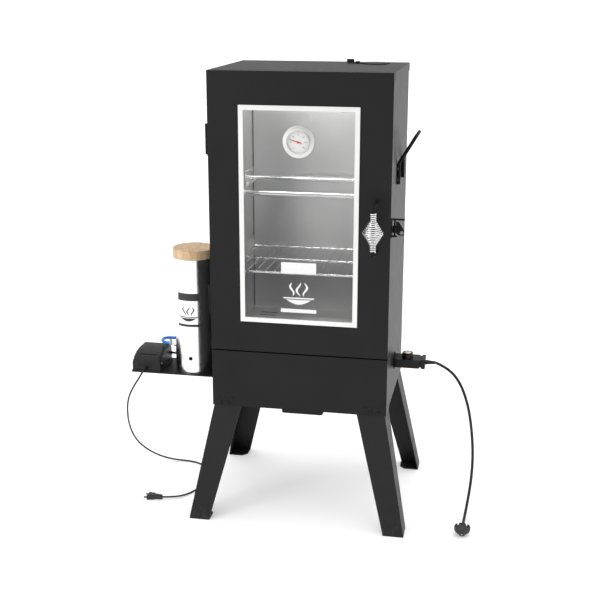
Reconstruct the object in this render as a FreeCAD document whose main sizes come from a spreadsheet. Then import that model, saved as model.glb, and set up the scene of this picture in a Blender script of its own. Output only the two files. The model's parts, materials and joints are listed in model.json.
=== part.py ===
"""Electric cabinet smoker: a two-skin steel cabinet on four splayed legs, with a glazed door, a
plug-in heater control on its right side and a smoke generator with an air pump on a shelf at its left.

Millimetres, +Z up.  Lengths are written in the cabinet's own frame (x to the right, y to the back, z up
from the floor, x = 0 and y = 0 on the cabinet's centre lines) and moved by ORIGIN_X and ORIGIN_Y, so that
the origin ends up below the middle of the whole object.
"""
import FreeCAD, Part
import math
import os
import re
import Sketcher

Vector = FreeCAD.Vector
Rotation = FreeCAD.Rotation
doc = FreeCAD.newDocument("CabinetSmoker")

# ---------------------------------------------------------------- driving dimensions
SIZES = {
    # cabinet
    "cabinet_width": 430,
    "cabinet_depth": 354,
    "cabinet_top": 1104,
    "skirt_bottom": 292,
    "seam_height": 434,
    "steel": 1.5,
    "liner_steel": 1,
    "wall": 30,
    "roof_flange": 20,
    "skirt_return": 62,
    "chamber_floor_height": 455,
    "base_height": 322,
    "slot_length": 46,
    "slot_width": 8,
    "slot_pitch": 24,
    # door
    "door_thick": 28,
    "door_gap": 4,
    "door_seam": 3,
    "window_left": 141,
    "window_low": 512,
    "window_high": 1027.5,
    "trim_width": 11.5,
    "trim_proud": 2.5,
    "glass_thick": 4,
    "glass_lap": 6,
    "reveal_thick": 9,
    "seal_inset": 10,
    "seal_wide": 9,
    "seal_clear": 0.5,
    # hinges
    "hinge_reach": 8,
    "hinge_radius": 5.5,
    "hinge_pin": 2.5,
    "pin_clear": 0.05,
    "hinge_tall": 71,
    "hinge_gap": 1,
    "hinge_leaf": 2.5,
    "hinge_leaf_wide": 26,
    "upper_hinge": 908,
    "lower_hinge": 519,
    # door handle
    "handle_x": 182.5,
    "handle_low": 697.5,
    "handle_high": 814.5,
    "handle_reach": 65,
    "handle_bend": 12,
    "handle_rod": 3.5,
    "coil_narrow": 7.3,
    "coil_wide": 24.5,
    "coil_wire": 2.8,
    "coil_collar": 16,
    "coil_end_gap": 1,
    # hasp
    "hasp_out": 7,
    "hasp_y": -155,
    "hasp_pin": 2,
    "hasp_boss": 5,
    "hasp_low": 734,
    "hasp_high": 770,
    "hasp_plate": 2.5,
    "hasp_reach": 22,
    "hasp_eye": 16.5,
    "hasp_eye_radius": 4.5,
    "staple_radius": 2.5,
    "bracket_reach": 30,
    "bracket_plate": 3,
    # thermometer
    "therm_height": 946,
    "therm_bezel": 37.3,
    "therm_body": 27.5,
    "therm_dial": 24.5,
    "therm_flange": 3.2,
    "therm_body_deep": 11,
    "therm_stem": 3,
    "therm_stem_long": 60,
    "therm_neck": 6,
    "therm_nut": 11,
    # racks
    "rod_radius": 6,
    "rod_height": 812,
    "front_rod": -105,
    "back_rod": 112,
    "ledge_tall": 28,
    "ledge_wide": 16,
    "ledge_thick": 1.5,
    "grate_height": 629,
    "grate_wire": 1.6,
    "grate_bar": 2.6,
    "grate_front": -136,
    "grate_back": 138,
    "grate_pitch": 22,
    "grate_wires": 15,
    # roof vent
    "flue_x": 135,
    "flue_y": 116,
    "flue_radius": 30,
    "damper_radius": 36,
    "damper_pivot": 43,
    "damper_thick": 2,
    "damper_lift": 0.4,
    "damper_screw": 2.5,
    "damper_tab_long": 30,
    "damper_tab_tall": 9,
    # legs
    "foot_x": 269,
    "foot_y": 225,
    "leg_steel": 2.5,
    "leg_top_width": 69,
    "leg_foot_width": 51,
    "leg_lap": 26,
    "foot_plate": 3,
    "bolt_height": 300,
    "bolt_outer": 195,
    "bolt_inner": 177,
    "bolt_radius": 3,
    "bolt_hole": 3.3,
    "bolt_head": 5.5,
    "bolt_dome": 3,
    "air_hole": 2.7,
    "air_hole_height": 314,
    "air_hole_outer": 196,
    "air_hole_pitch": 15.8,
    # drip tray
    "tray_half": 52,
    "tray_front": -132,
    "tray_long": 200,
    "tray_tall": 24,
    "tray_top": 288,
    "tray_steel": 1.2,
    "tray_rim": 8,
    "tray_clear": 0.5,
    "tray_round": 8,
    "rail_lip": 10,
    "drain_radius": 7,
    # heater and its control
    "heater_height": 376,
    "heater_radius": 4,
    "heater_long": 155,
    "heater_half": 105,
    "heater_bend": 30,
    "terminal_half": 9,
    "socket_radius": 22,
    "socket_plate": 2.5,
    "socket_hole": 16,
    "control_end": 292,
    "control_half": 24,
    "control_tall": 22,
    "grip_long": 9,
    "grip_half": 22,
    "grip_tall": 24,
    "waist_long": 5,
    "waist_half": 20,
    "knob_x": 247,
    "knob_y": -5,
    "knob_radius": 14,
    "knob_tall": 14,
    "knob_clear": 0.4,
    "knob_shaft": 3,
    "knob_shaft_long": 8,
    "probe_radius": 2.5,
    "probe_tip": 120,
    "relief_long": 26,
    "mains_radius": 3.5,
    # carry handle
    "bail_half": 50,
    "bail_rod": 4,
    "bail_low": 835,
    "bail_knee": 885,
    "bail_top": 949,
    "bail_reach": 42,
    "bail_bend": 10,
    # smoke generator and shelf
    "shelf_end": 465,
    "shelf_half": 62,
    "shelf_top": 322,
    "shelf_steel": 2.5,
    "shelf_flange": 34,
    "can_x": -307,
    "can_radius": 53,
    "can_steel": 1.5,
    "can_top": 623,
    "can_base": 5,
    "lid_tall": 24,
    "lid_lip": 12,
    "lid_proud": 0.8,
    "lid_clear": 0.4,
    "jet_height": 384,
    "outlet_radius": 11,
    "outlet_wall": 1.5,
    "jet_radius": 3,
    "jet_out": 6,
    "light_hole": 5,
    "light_hole_height": 363,
    "hose_radius": 4,
    # air pump
    "pump_left": 463,
    "pump_right": 388,
    "pump_front": -59,
    "pump_back": 42,
    "pump_tall": 50,
    "pump_base": 4,
    "pump_lip": 2,
    "pump_face": 32,
    "pump_wall": 2.5,
    "pump_coil_inset": 14,
    "nipple_height": 345,
    "nipple_y": 36,
    "nipple_radius": 2.8,
    "nipple_long": 12,
    "lead_radius": 2.25,
}

sheet = doc.addObject("Spreadsheet::Sheet", "Sizes")
for row, (alias, value) in enumerate(SIZES.items(), 1):
    sheet.set("A%d" % row, alias)
    sheet.set("B%d" % row, str(value))
    sheet.setAlias("B%d" % row, alias)
doc.recompute()

# from the cabinet's axis to the middle of the whole object's box
ORIGIN_X = "((pump_left + pump_lip - control_end - relief_long) / 2)"
ORIGIN_Y = "((cabinet_depth / 2 + handle_reach + coil_wide - foot_y) / 2)"
SHIFT = {"x": ORIGIN_X + " + ", "y": ORIGIN_Y + " + ", "z": ""}
TURN_TO = {"x": Rotation(Vector(0, 1, 0), 90), "y": Rotation(Vector(1, 0, 0), -90), "z": Rotation()}
pieces = []


# ---------------------------------------------------------------- helpers
def number(expression):
    """The value of an expression in the sheet's aliases."""
    return float(sheet.evalExpression(expression))


def bind(item, prop, expression):
    """Ties a property to an expression in the sheet's aliases."""
    named = re.sub(r"[a-z][a-z_]+", lambda word: "Sizes." + word.group(0), expression)
    item.setExpression(prop, named)


def keep(item, label):
    """Names a finished sub-part and marks it for writing."""
    item.Label = label
    pieces.append(item)
    return item


def put(item, x, y, z):
    """Places an item at a point of the cabinet's frame."""
    for axis, value in zip("xyz", (x, y, z)):
        bind(item, "Placement.Base." + axis, "%s(%s)" % (SHIFT[axis], value))


def box(name, x, y, z):
    """A block between pairs of low and high places."""
    piece = doc.addObject("Part::Box", name)
    for prop, (low, high) in zip(("Length", "Width", "Height"), (x, y, z)):
        bind(piece, prop, "(%s) - (%s)" % (high, low))
    put(piece, x[0], y[0], z[0])
    return piece


def rod(name, axis, radius, start, length):
    """A cylinder from start along +axis."""
    piece = doc.addObject("Part::Cylinder", name)
    piece.Placement = FreeCAD.Placement(Vector(), TURN_TO[axis])
    bind(piece, "Radius", radius)
    bind(piece, "Height", length)
    put(piece, *start)
    return piece


def fuse(name, shapes):
    """One item joined from several."""
    piece = doc.addObject("Part::MultiFuse", name)
    piece.Shapes = shapes
    return piece


def cut(name, base, tools):
    """An item with the tools taken away."""
    piece = doc.addObject("Part::Cut", name)
    piece.Base = base
    piece.Tool = tools[0] if len(tools) == 1 else fuse(name + "_tools", tools)
    return piece


def solid_from(label, shape):
    """A sub-part whose shape comes from Part's own functions, in the cabinet's frame."""
    piece = doc.addObject("Part::Feature", label)
    piece.Shape = shape
    piece.Placement = FreeCAD.Placement(Vector(number(ORIGIN_X), number(ORIGIN_Y), 0), Rotation())
    return keep(piece, label)


def new_body(label, x="0", y="0", z="0"):
    """A body whose origin is a point of the cabinet's frame."""
    body = doc.addObject("PartDesign::Body", label)
    put(body, x, y, z)
    return keep(body, label)


def sketch_on(body, role, height=None):
    """A sketch on one of the body's origin planes, at a height along the plane's normal."""
    plane = [item for item in body.Origin.OriginFeatures if item.Role == role][0]
    sketch = body.newObject("Sketcher::SketchObject", body.Name + "_sketch")
    sketch.AttachmentSupport = (plane, [""])
    sketch.MapMode = "FlatFace"
    if height is not None:
        bind(sketch, "AttachmentOffset.Base.z", height)
    return sketch


def pin_down(sketch, kind, geometry, corner, value, expression):
    """One dimension of a sketch, from its origin."""
    index = sketch.addConstraint(Sketcher.Constraint(kind, -1, 1, geometry, corner, value))
    bind(sketch, "Constraints[%d]" % index, expression)


def loop(sketch, points):
    """A closed outline through (x, y) expressions."""
    corners = [Vector(number(x), number(y), 0) for x, y in points]
    first = sketch.GeometryCount
    count = len(corners)
    for index, corner in enumerate(corners):
        sketch.addGeometry(Part.LineSegment(corner, corners[(index + 1) % count]))
    for index in range(count):
        after = first + (index + 1) % count
        sketch.addConstraint(Sketcher.Constraint("Coincident", first + index, 2, after, 1))
    for index, (x, y) in enumerate(points):
        pin_down(sketch, "DistanceX", first + index, 1, corners[index].x, x)
        pin_down(sketch, "DistanceY", first + index, 1, corners[index].y, y)
    return sketch


def window(sketch, x, y):
    """A rectangle between pairs of low and high places."""
    return loop(sketch, [(x[0], y[0]), (x[1], y[0]), (x[1], y[1]), (x[0], y[1])])


def ring(sketch, x, y, radius):
    """A circle about (x, y)."""
    centre = Vector(number(x), number(y), 0)
    index = sketch.addGeometry(Part.Circle(centre, Vector(0, 0, 1), number(radius)))
    pin_down(sketch, "DistanceX", index, 3, centre.x, x)
    pin_down(sketch, "DistanceY", index, 3, centre.y, y)
    size = sketch.addConstraint(Sketcher.Constraint("Radius", index, number(radius)))
    bind(sketch, "Constraints[%d]" % size, radius)
    return sketch


def pad(body, sketch, length, backwards=False):
    """Material along the sketch's normal, or against it."""
    feature = body.newObject("PartDesign::Pad", body.Name + "_pad")
    feature.Profile = sketch
    feature.Reversed = backwards
    bind(feature, "Length", length)
    doc.recompute()
    return feature


def pocket(body, sketch, length, backwards=False):
    """Material taken away against the sketch's normal, or along it."""
    before = body.Shape.Volume
    feature = body.newObject("PartDesign::Pocket", body.Name + "_pocket")
    feature.Profile = sketch
    feature.Reversed = backwards
    bind(feature, "Length", length)
    doc.recompute()
    if body.Shape.Volume >= before:
        raise ValueError("a pocket of %s cuts nothing" % body.Label)
    return feature


def revolve(body, sketch):
    """A full turn about the sketch's upright axis."""
    feature = body.newObject("PartDesign::Revolution", body.Name + "_turn")
    feature.Profile = sketch
    feature.ReferenceAxis = (sketch, ["V_Axis"])
    feature.Angle = 360
    doc.recompute()
    return feature


def soften(body, feature, wanted, radius, kind="PartDesign::Fillet"):
    """Rounds or bevels the edges of a feature that a test picks."""
    names = ["Edge%d" % (index + 1) for index, edge in enumerate(feature.Shape.Edges) if wanted(edge)]
    if not names:
        raise ValueError("no edge of %s to soften" % body.Label)
    blend = body.newObject(kind, body.Name + "_blend")
    blend.Base = (feature, names)
    bind(blend, "Radius" if kind == "PartDesign::Fillet" else "Size", radius)
    doc.recompute()
    return blend


def runs_along(edge, axis):
    """Whether a straight edge lies along an axis."""
    if len(edge.Vertexes) != 2 or edge.Curve.TypeId != "Part::GeomLine":
        return False
    way = edge.Vertexes[1].Point - edge.Vertexes[0].Point
    return abs(way.getAngle(axis) % math.pi) < 0.01 or abs(way.getAngle(axis) - math.pi) < 0.01


def bent_path(points, bend=None):
    """Straight runs joined by tangent arcs, and the arcs' radii.

    An arc's radius is bend, or as large as 0.45 of the shorter run beside it allows."""
    corners = [Vector(*point) for point in points]
    start = corners[0]
    edges = []
    radii = []
    for before, here, after in zip(corners, corners[1:], corners[2:]):
        into = (here - before).normalize()
        out = (after - here).normalize()
        half_turn = into.getAngle(out) / 2
        shorter = min((here - before).Length, (after - here).Length)
        radius = bend or 0.45 * shorter / math.tan(half_turn)
        reach = radius * math.tan(half_turn)
        entry = here - into * reach
        leave = here + out * reach
        inward = (out - into).normalize()
        middle = here + inward * (radius / math.cos(half_turn) - radius)
        edges.append(Part.LineSegment(start, entry).toShape())
        edges.append(Part.Arc(entry, middle, leave).toShape())
        radii.append(radius)
        start = leave
    edges.append(Part.LineSegment(start, corners[-1]).toShape())
    return Part.Wire(edges), radii


def round_bar(points, radius, bend=None):
    """A round bar, tube or cord along a bent path."""
    path, radii = bent_path(points, bend)
    heading = Vector(*points[1]) - Vector(*points[0])
    section = Part.Wire([Part.makeCircle(radius, Vector(*points[0]), heading)])
    bar = path.makePipeShell([section], True, False)
    share = bar.Volume / (math.pi * radius ** 2 * path.Length)
    return bar, path.Length, radii, share


def cord(label, points, radius):
    """A free cord; prints its length, its tightest arc and how true its volume is."""
    bar, length, radii, share = round_bar(points, radius)
    print(label, "length %.0f" % length, "radii", [round(r) for r in radii], "volume share %.4f" % share)
    return solid_from(label, bar)


def cone_stub(base, way, long, wide, narrow):
    """A tapered stub from base along way."""
    return Part.makeCone(wide, narrow, long, Vector(*base), Vector(*way))


# ---------------------------------------------------------------- places used by several pieces
half_width = "(cabinet_width / 2)"
half_depth = "(cabinet_depth / 2)"
body_front = "(door_thick + door_gap - cabinet_depth / 2)"
door_back = "(door_thick - cabinet_depth / 2)"
side_out = "(cabinet_width / 2 - steel)"
hasp_x = "(cabinet_width / 2 + hasp_out)"
side_in = "(cabinet_width / 2 - 2 * steel)"
liner_out = "(cabinet_width / 2 - wall)"
liner_in = "(cabinet_width / 2 - wall - liner_steel)"
liner_back = "(cabinet_depth / 2 - wall)"
ceiling = "(cabinet_top - wall)"
door_low = "(seam_height + door_seam)"
hinge_x = "(-cabinet_width / 2 - hinge_reach)"
hinge_y = "(door_thick + door_gap / 2 - cabinet_depth / 2)"
control_low = "(heater_height - control_tall / 2)"
control_high = "(heater_height + control_tall / 2)"
lid_low = "can_top"


# ---------------------------------------------------------------- cabinet shell
def side_panels():
    """The two outer side sheets, with the smoke inlet at the left and the heater hole at the right."""
    for side, hole, height in (("left", "outlet_radius + 0.3", "jet_height"),
                               ("right", "socket_hole", "heater_height")):
        edges = ("-" + side_out, "-" + side_in) if side == "left" else (side_in, side_out)
        panel = box(side + "_sheet", edges, (body_front, half_depth + " - steel"),
                    ("skirt_bottom", "cabinet_top - steel"))
        drill = rod(side + "_drill", "x", hole, (edges[0] + " - 1", "0", height), "steel + 2")
        keep(cut(side + "_side", panel, [drill]), side + "_side_panel")


def back_panel():
    """The outer back sheet, with the holes of the back legs' bolts."""
    panel = box("back_sheet", ("-" + side_out, side_out), (half_depth + " - steel", half_depth),
                ("skirt_bottom", "cabinet_top - steel"))
    drills = [rod("back_drill", "y", "bolt_hole", (x, half_depth + " - steel - 1", "bolt_height"), "steel + 2")
              for x in ("bolt_outer", "bolt_inner", "-bolt_outer", "-bolt_inner")]
    keep(cut("back_plate", panel, drills), "back_panel")


def roof_cap():
    """The roof: a sheet with edges folded down over the sides and the back, open for the flue."""
    body = new_body("roof_cap", z="cabinet_top - roof_flange")
    outline = sketch_on(body, "XY_Plane")
    window(outline, ("-" + half_width, half_width), (body_front, half_depth + " + steel"))
    pad(body, outline, "roof_flange")
    hollow = sketch_on(body, "XY_Plane")
    window(hollow, ("-" + side_out, side_out), (body_front + " - 1", half_depth))
    pocket(body, hollow, "roof_flange - steel", True)
    flue = sketch_on(body, "XY_Plane")
    ring(flue, "flue_x", "flue_y", "flue_radius + liner_steel")
    pocket(body, flue, "roof_flange + 1", True)


def front_frame():
    """The frame that closes the walls' front edges, where the door's seal rests."""
    body = new_body("front_frame", y=body_front + " + steel")
    plate = sketch_on(body, "XZ_Plane")
    window(plate, ("-" + side_in, side_in), ("seam_height", "cabinet_top - steel"))
    pad(body, plate, "steel")
    mouth = sketch_on(body, "XZ_Plane")
    window(mouth, ("-" + liner_out, liner_out), ("chamber_floor_height", ceiling))
    pocket(body, mouth, "steel", True)


def chamber():
    """The stainless liner: two walls, a back and a ceiling with the flue's collar."""
    low = "chamber_floor_height"
    front = body_front + " + steel"
    tall = (low, ceiling)
    walls = doc.addObject("Part::Compound", "walls")
    walls.Links = [
        box("left_liner", ("-" + liner_out, "-" + liner_in), (front, liner_back), tall),
        box("right_liner", (liner_in, liner_out), (front, liner_back), tall),
        box("back_liner", ("-" + liner_out, liner_out), (liner_back, liner_back + " + liner_steel"), tall),
    ]
    keep(walls, "chamber_walls")
    top = (ceiling, ceiling + " + liner_steel")
    sheet_top = box("ceiling_sheet", ("-" + liner_out, liner_out), (front, liner_back + " + liner_steel"), top)
    bore = rod("ceiling_bore", "z", "flue_radius", ("flue_x", "flue_y", ceiling + " - 1"), "wall + 2")
    collar = rod("collar_out", "z", "flue_radius + liner_steel", ("flue_x", "flue_y", ceiling), "wall")
    keep(cut("ceiling_cut", fuse("ceiling_join", [sheet_top, collar]), [bore]), "chamber_ceiling")


def insulation():
    """Mineral wool slabs in the side walls, the back wall and under the roof."""
    front = body_front + " + steel"
    tall = ("chamber_floor_height", ceiling)
    slabs = [
        box("wool_left", ("-" + side_in, "-" + liner_out), (front, liner_back), tall),
        box("wool_right", (liner_out, side_in), (front, liner_back), tall),
        box("wool_back", ("-" + side_in, side_in), (liner_back + " + liner_steel", half_depth + " - steel"), tall),
    ]
    roof = box("wool_roof", ("-" + side_in, side_in), (front, half_depth + " - steel"),
               (ceiling + " + liner_steel", "cabinet_top - steel"))
    bore = rod("wool_bore", "z", "flue_radius + liner_steel", ("flue_x", "flue_y", ceiling), "wall")
    joined = doc.addObject("Part::Compound", "wool")
    joined.Links = slabs + [cut("wool_roof_cut", roof, [bore])]
    keep(joined, "wall_insulation")


def chamber_floor():
    """The floor over the heater, with rows of slots at both sides that let heat and smoke rise."""
    body = new_body("chamber_floor", z="chamber_floor_height - steel")
    plate = sketch_on(body, "XY_Plane")
    window(plate, ("-" + side_in, side_in), (body_front + " + steel", half_depth + " - steel"))
    pad(body, plate, "steel")
    for sign in ("", "-"):
        slots = sketch_on(body, "XY_Plane")
        for count in range(-4, 5):
            middle = "%d * slot_pitch" % count
            inner = sign + "(cabinet_width / 2 - wall - 30 - slot_length)"
            outer = sign + "(cabinet_width / 2 - wall - 30)"
            sides = (outer, inner) if sign else (inner, outer)
            window(slots, sides, (middle + " - slot_width / 2", middle + " + slot_width / 2"))
        pocket(body, slots, "steel", True)


def base_floor():
    """The bottom sheet, with the spout that drains it into the tray."""
    plate = box("base_sheet", ("-" + side_in, side_in),
                ("-%s + 4" % half_depth, half_depth + " - 4"), ("base_height", "base_height + steel"))
    spout = rod("spout_out", "z", "drain_radius", ("0", "tray_front + tray_long / 2", "tray_top + 6"),
                "base_height - tray_top - 6")
    bore = rod("spout_in", "z", "drain_radius - steel", ("0", "tray_front + tray_long / 2", "tray_top + 5"),
               "base_height - tray_top")
    keep(cut("base_cut", fuse("base_join", [plate, spout]), [bore]), "base_floor")


def lower_front_panel():
    """The panel below the door: a front face with its sides and top folded back."""
    body = new_body("lower_front_panel", z="skirt_bottom")
    front = "-" + half_depth
    profile = sketch_on(body, "XY_Plane")
    back = front + " + skirt_return"
    loop(profile, [("-" + half_width, back), ("-" + half_width, front), (half_width, front),
                   (half_width, back), (side_out, back), (side_out, front + " + steel"),
                   ("-" + side_out, front + " + steel"), ("-" + side_out, back)])
    pad(body, profile, "seam_height - skirt_bottom")
    ledge = sketch_on(body, "XY_Plane", "seam_height - skirt_bottom - steel")
    window(ledge, ("-" + side_in, side_in), (front + " + steel", body_front + " + steel"))
    pad(body, ledge, "steel")
    holes = sketch_on(body, "XZ_Plane", half_depth)
    for sign in ("", "-"):
        for count in range(3):
            ring(holes, "%s(air_hole_outer - %d * air_hole_pitch)" % (sign, count),
                 "air_hole_height - skirt_bottom", "air_hole")
        for place in ("bolt_outer", "bolt_inner"):
            ring(holes, sign + place, "bolt_height - skirt_bottom", "bolt_hole")
    pocket(body, holes, "steel")


# ---------------------------------------------------------------- legs
def leg(label, side, end):
    """A folded leg: an upright angle bolted inside the cabinet, splayed and tapered below it."""
    def angle(x, y, width):
        def corner(across, along):
            return ("%d * (%s - (%s))" % (side, x, across), "%d * (%s - (%s))" % (end, y, along))
        return [corner("0", "0"), corner(width, "0"), corner(width, "leg_steel"),
                corner("leg_steel", "leg_steel"), corner("leg_steel", width), corner("0", width)]

    top_x = side_in
    top_y = half_depth + " - steel"
    body = new_body(label)
    upper = loop(sketch_on(body, "XY_Plane", "skirt_bottom"), angle(top_x, top_y, "leg_top_width"))
    pad(body, upper, "leg_lap")
    ankle = loop(sketch_on(body, "XY_Plane", "foot_plate"), angle("foot_x", "foot_y", "leg_foot_width"))
    knee = loop(sketch_on(body, "XY_Plane", "skirt_bottom"), angle(top_x, top_y, "leg_top_width"))
    loft = body.newObject("PartDesign::AdditiveLoft", label + "_loft")
    loft.Profile = ankle
    loft.Sections = [knee]
    loft.Ruled = True
    doc.recompute()

    def foot(across, along):
        return ("%d * (foot_x - %s)" % (side, across), "%d * (foot_y - %s)" % (end, along))
    sole = loop(sketch_on(body, "XY_Plane"), [
        foot("0", "0"), foot("leg_foot_width", "0"), foot("leg_foot_width", "leg_foot_width * 0.75"),
        foot("leg_foot_width * 0.75", "leg_foot_width"), foot("0", "leg_foot_width")])
    pad(body, sole, "foot_plate")
    holes = sketch_on(body, "XZ_Plane", "%d * %s" % (-end, half_depth))
    for place in ("bolt_outer", "bolt_inner"):
        ring(holes, "%d * %s" % (side, place), "bolt_height", "bolt_hole")
    pocket(body, holes, "steel + leg_steel + 2", end > 0)


def leg_bolts():
    """Domed bolts with nuts, two through the front or back face of each leg."""
    radius = number("bolt_radius")
    head = number("bolt_head")
    dome = number("bolt_dome")
    grip = number("steel + leg_steel")
    bolts = []
    for end in (-1, 1):
        for place in ("bolt_outer", "bolt_inner"):
            for side in (-1, 1):
                face = Vector(side * number(place), end * number(half_depth), number("bolt_height"))
                way = Vector(0, end, 0)
                cap = [Vector(0, 0, dome), Vector(head * 0.55, 0, dome * 0.82), Vector(head, 0, 0)]
                outline = Part.Wire([Part.Arc(*cap).toShape()] + Part.makePolygon([
                    Vector(head, 0, 0), Vector(radius, 0, 0), Vector(radius, 0, -grip - 8),
                    Vector(0, 0, -grip - 8), Vector(0, 0, dome)]).Edges)
                bolt = Part.Face(outline).revolve(Vector(), Vector(0, 0, 1), 360)
                bolt.Placement = FreeCAD.Placement(face, Rotation(Vector(0, 0, 1), way))
                bolts.append(bolt)
                hexagon = Part.makePolygon([
                    face - way * grip + Vector(math.sin(step * math.pi / 3), 0, math.cos(step * math.pi / 3)) * head
                    for step in range(7)])
                nut = Part.Face(Part.Wire(hexagon)).extrude(way * -5)
                bolts.append(nut.cut(Part.makeCylinder(radius, grip + 9, face, way * -1)))
    solid_from("leg_bolts", Part.makeCompound(bolts))


# ---------------------------------------------------------------- drip tray
def drip_tray():
    """The grease tray under the floor: a rimmed pan that slides forward, and its two rails."""
    body = new_body("drip_tray", y="tray_front", z="tray_top - tray_tall")
    outer = window(sketch_on(body, "XY_Plane"), ("-tray_half", "tray_half"), ("0", "tray_long"))
    pan = pad(body, outer, "tray_tall")
    upright = Vector(0, 0, 1)
    pan = soften(body, pan, lambda edge: runs_along(edge, upright), "tray_round")
    floor_edges = pan.Shape.BoundBox.ZMin + 0.01
    soften(body, pan, lambda edge: edge.BoundBox.ZMax < floor_edges, "tray_round / 4")
    wall = "tray_steel"
    side = "(tray_half - tray_steel)"
    near = "tray_steel"
    far = "(tray_long - tray_steel)"
    bevel = "tray_round * 0.6"
    corners = [("-%s + %s" % (side, bevel), near), ("%s - %s" % (side, bevel), near),
               (side, near + " + " + bevel), (side, far + " - " + bevel), ("%s - %s" % (side, bevel), far),
               ("-%s + %s" % (side, bevel), far), ("-" + side, far + " - " + bevel),
               ("-" + side, near + " + " + bevel)]
    pocket(body, loop(sketch_on(body, "XY_Plane", wall), corners), "tray_tall", True)
    rim = sketch_on(body, "XY_Plane", "tray_tall - " + wall)
    window(rim, ("-tray_half - tray_rim", "tray_half + tray_rim"), ("0", "tray_long"))
    loop(rim, corners)
    pad(body, rim, wall)
    lip_top = "tray_top - tray_steel - tray_clear"
    rails = []
    for sign in (1, -1):
        web = "(tray_half + tray_rim + tray_clear)"
        lip = "(tray_half + tray_clear * 2)"
        webs = (web, web + " + steel") if sign > 0 else ("-%s - steel" % web, "-" + web)
        lips = (lip, web + " + steel") if sign > 0 else ("-%s - steel" % web, "-" + lip)
        along = ("tray_front + 8", "tray_front + tray_long - 4")
        rails.append(box("rail_web", webs, along, (lip_top + " - steel", "base_height")))
        rails.append(box("rail_lip", lips, along, (lip_top + " - steel", lip_top)))
    joined = doc.addObject("Part::Compound", "rails")
    joined.Links = [fuse("left_rail", rails[2:]), fuse("right_rail", rails[:2])]
    keep(joined, "tray_rails")


# ---------------------------------------------------------------- door
def door_skin():
    """The door's outer pan, with its edges folded back and the window's opening."""
    body = new_body("door_skin", y=door_back)
    slab = window(sketch_on(body, "XZ_Plane"), ("-" + half_width, half_width), (door_low, "cabinet_top"))
    pad(body, slab, "door_thick")
    hollow = window(sketch_on(body, "XZ_Plane"), ("-" + side_out, side_out),
                    (door_low + " + steel", "cabinet_top - steel"))
    pocket(body, hollow, "door_thick - steel", True)
    opening = window(sketch_on(body, "XZ_Plane"), ("trim_width - window_left - 2", "window_left - trim_width + 2"),
                     ("window_low + trim_width - 2", "window_high - trim_width + 2"))
    pocket(body, opening, "door_thick + 1", True)


def door_filling():
    """What is in the door: the inner sheet with the window's deep frame, and the wool."""
    reveal = "(window_left - trim_width + 2)"
    low = "window_low + trim_width - 2"
    high = "window_high - trim_width + 2"
    inner = new_body("door_inner_panel", y=door_back)
    plate = window(sketch_on(inner, "XZ_Plane"), ("-" + side_out, side_out),
                   (door_low + " + steel", "cabinet_top - steel"))
    pad(inner, plate, "liner_steel")
    frame = window(sketch_on(inner, "XZ_Plane"), ("-%s - reveal_thick" % reveal, reveal + " + reveal_thick"),
                   (low + " - reveal_thick", high + " + reveal_thick"))
    pad(inner, frame, "door_thick - steel - glass_thick")
    mouth = window(sketch_on(inner, "XZ_Plane"), ("-" + reveal, reveal), (low, high))
    pocket(inner, mouth, "door_thick", True)
    wool = new_body("door_insulation", y=door_back + " - liner_steel")
    slab = window(sketch_on(wool, "XZ_Plane"), ("-" + side_out, side_out),
                  (door_low + " + steel", "cabinet_top - steel"))
    pad(wool, slab, "door_thick - steel - liner_steel")
    hole = window(sketch_on(wool, "XZ_Plane"), ("-%s - reveal_thick" % reveal, reveal + " + reveal_thick"),
                  (low + " - reveal_thick", high + " + reveal_thick"))
    pocket(wool, hole, "door_thick", True)


def window_pieces():
    """The window's trim on the door's face, and the glass behind that face."""
    trim = new_body("window_trim", y="-" + half_depth)
    outer = window(sketch_on(trim, "XZ_Plane"), ("-window_left", "window_left"), ("window_low", "window_high"))
    pad(trim, outer, "trim_proud")
    inner = window(sketch_on(trim, "XZ_Plane"), ("trim_width - window_left", "window_left - trim_width"),
                   ("window_low + trim_width", "window_high - trim_width"))
    pocket(trim, inner, "trim_proud + 1", True)
    glass = new_body("window_glass", y="steel + glass_thick - " + half_depth)
    reach = "(window_left - trim_width + 2 + glass_lap)"
    pane = window(sketch_on(glass, "XZ_Plane"), ("-" + reach, reach),
                  ("window_low + trim_width - 2 - glass_lap", "window_high - trim_width + 2 + glass_lap"))
    ring(pane, "0", "therm_height", "therm_neck")
    pad(glass, pane, "glass_thick")


def door_seal():
    """The rope seal on the door's back, all round the chamber's mouth."""
    seal = new_body("door_seal", y="door_gap - seal_clear + " + door_back)
    outer = window(sketch_on(seal, "XZ_Plane"), ("seal_inset - " + half_width, half_width + " - seal_inset"),
                   (door_low + " + seal_inset", "cabinet_top - seal_inset"))
    pad(seal, outer, "door_gap - seal_clear")
    inner = window(sketch_on(seal, "XZ_Plane"),
                   ("seal_inset + seal_wide - " + half_width, half_width + " - seal_inset - seal_wide"),
                   (door_low + " + seal_inset + seal_wide", "cabinet_top - seal_inset - seal_wide"))
    pocket(seal, inner, "door_gap", True)


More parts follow.
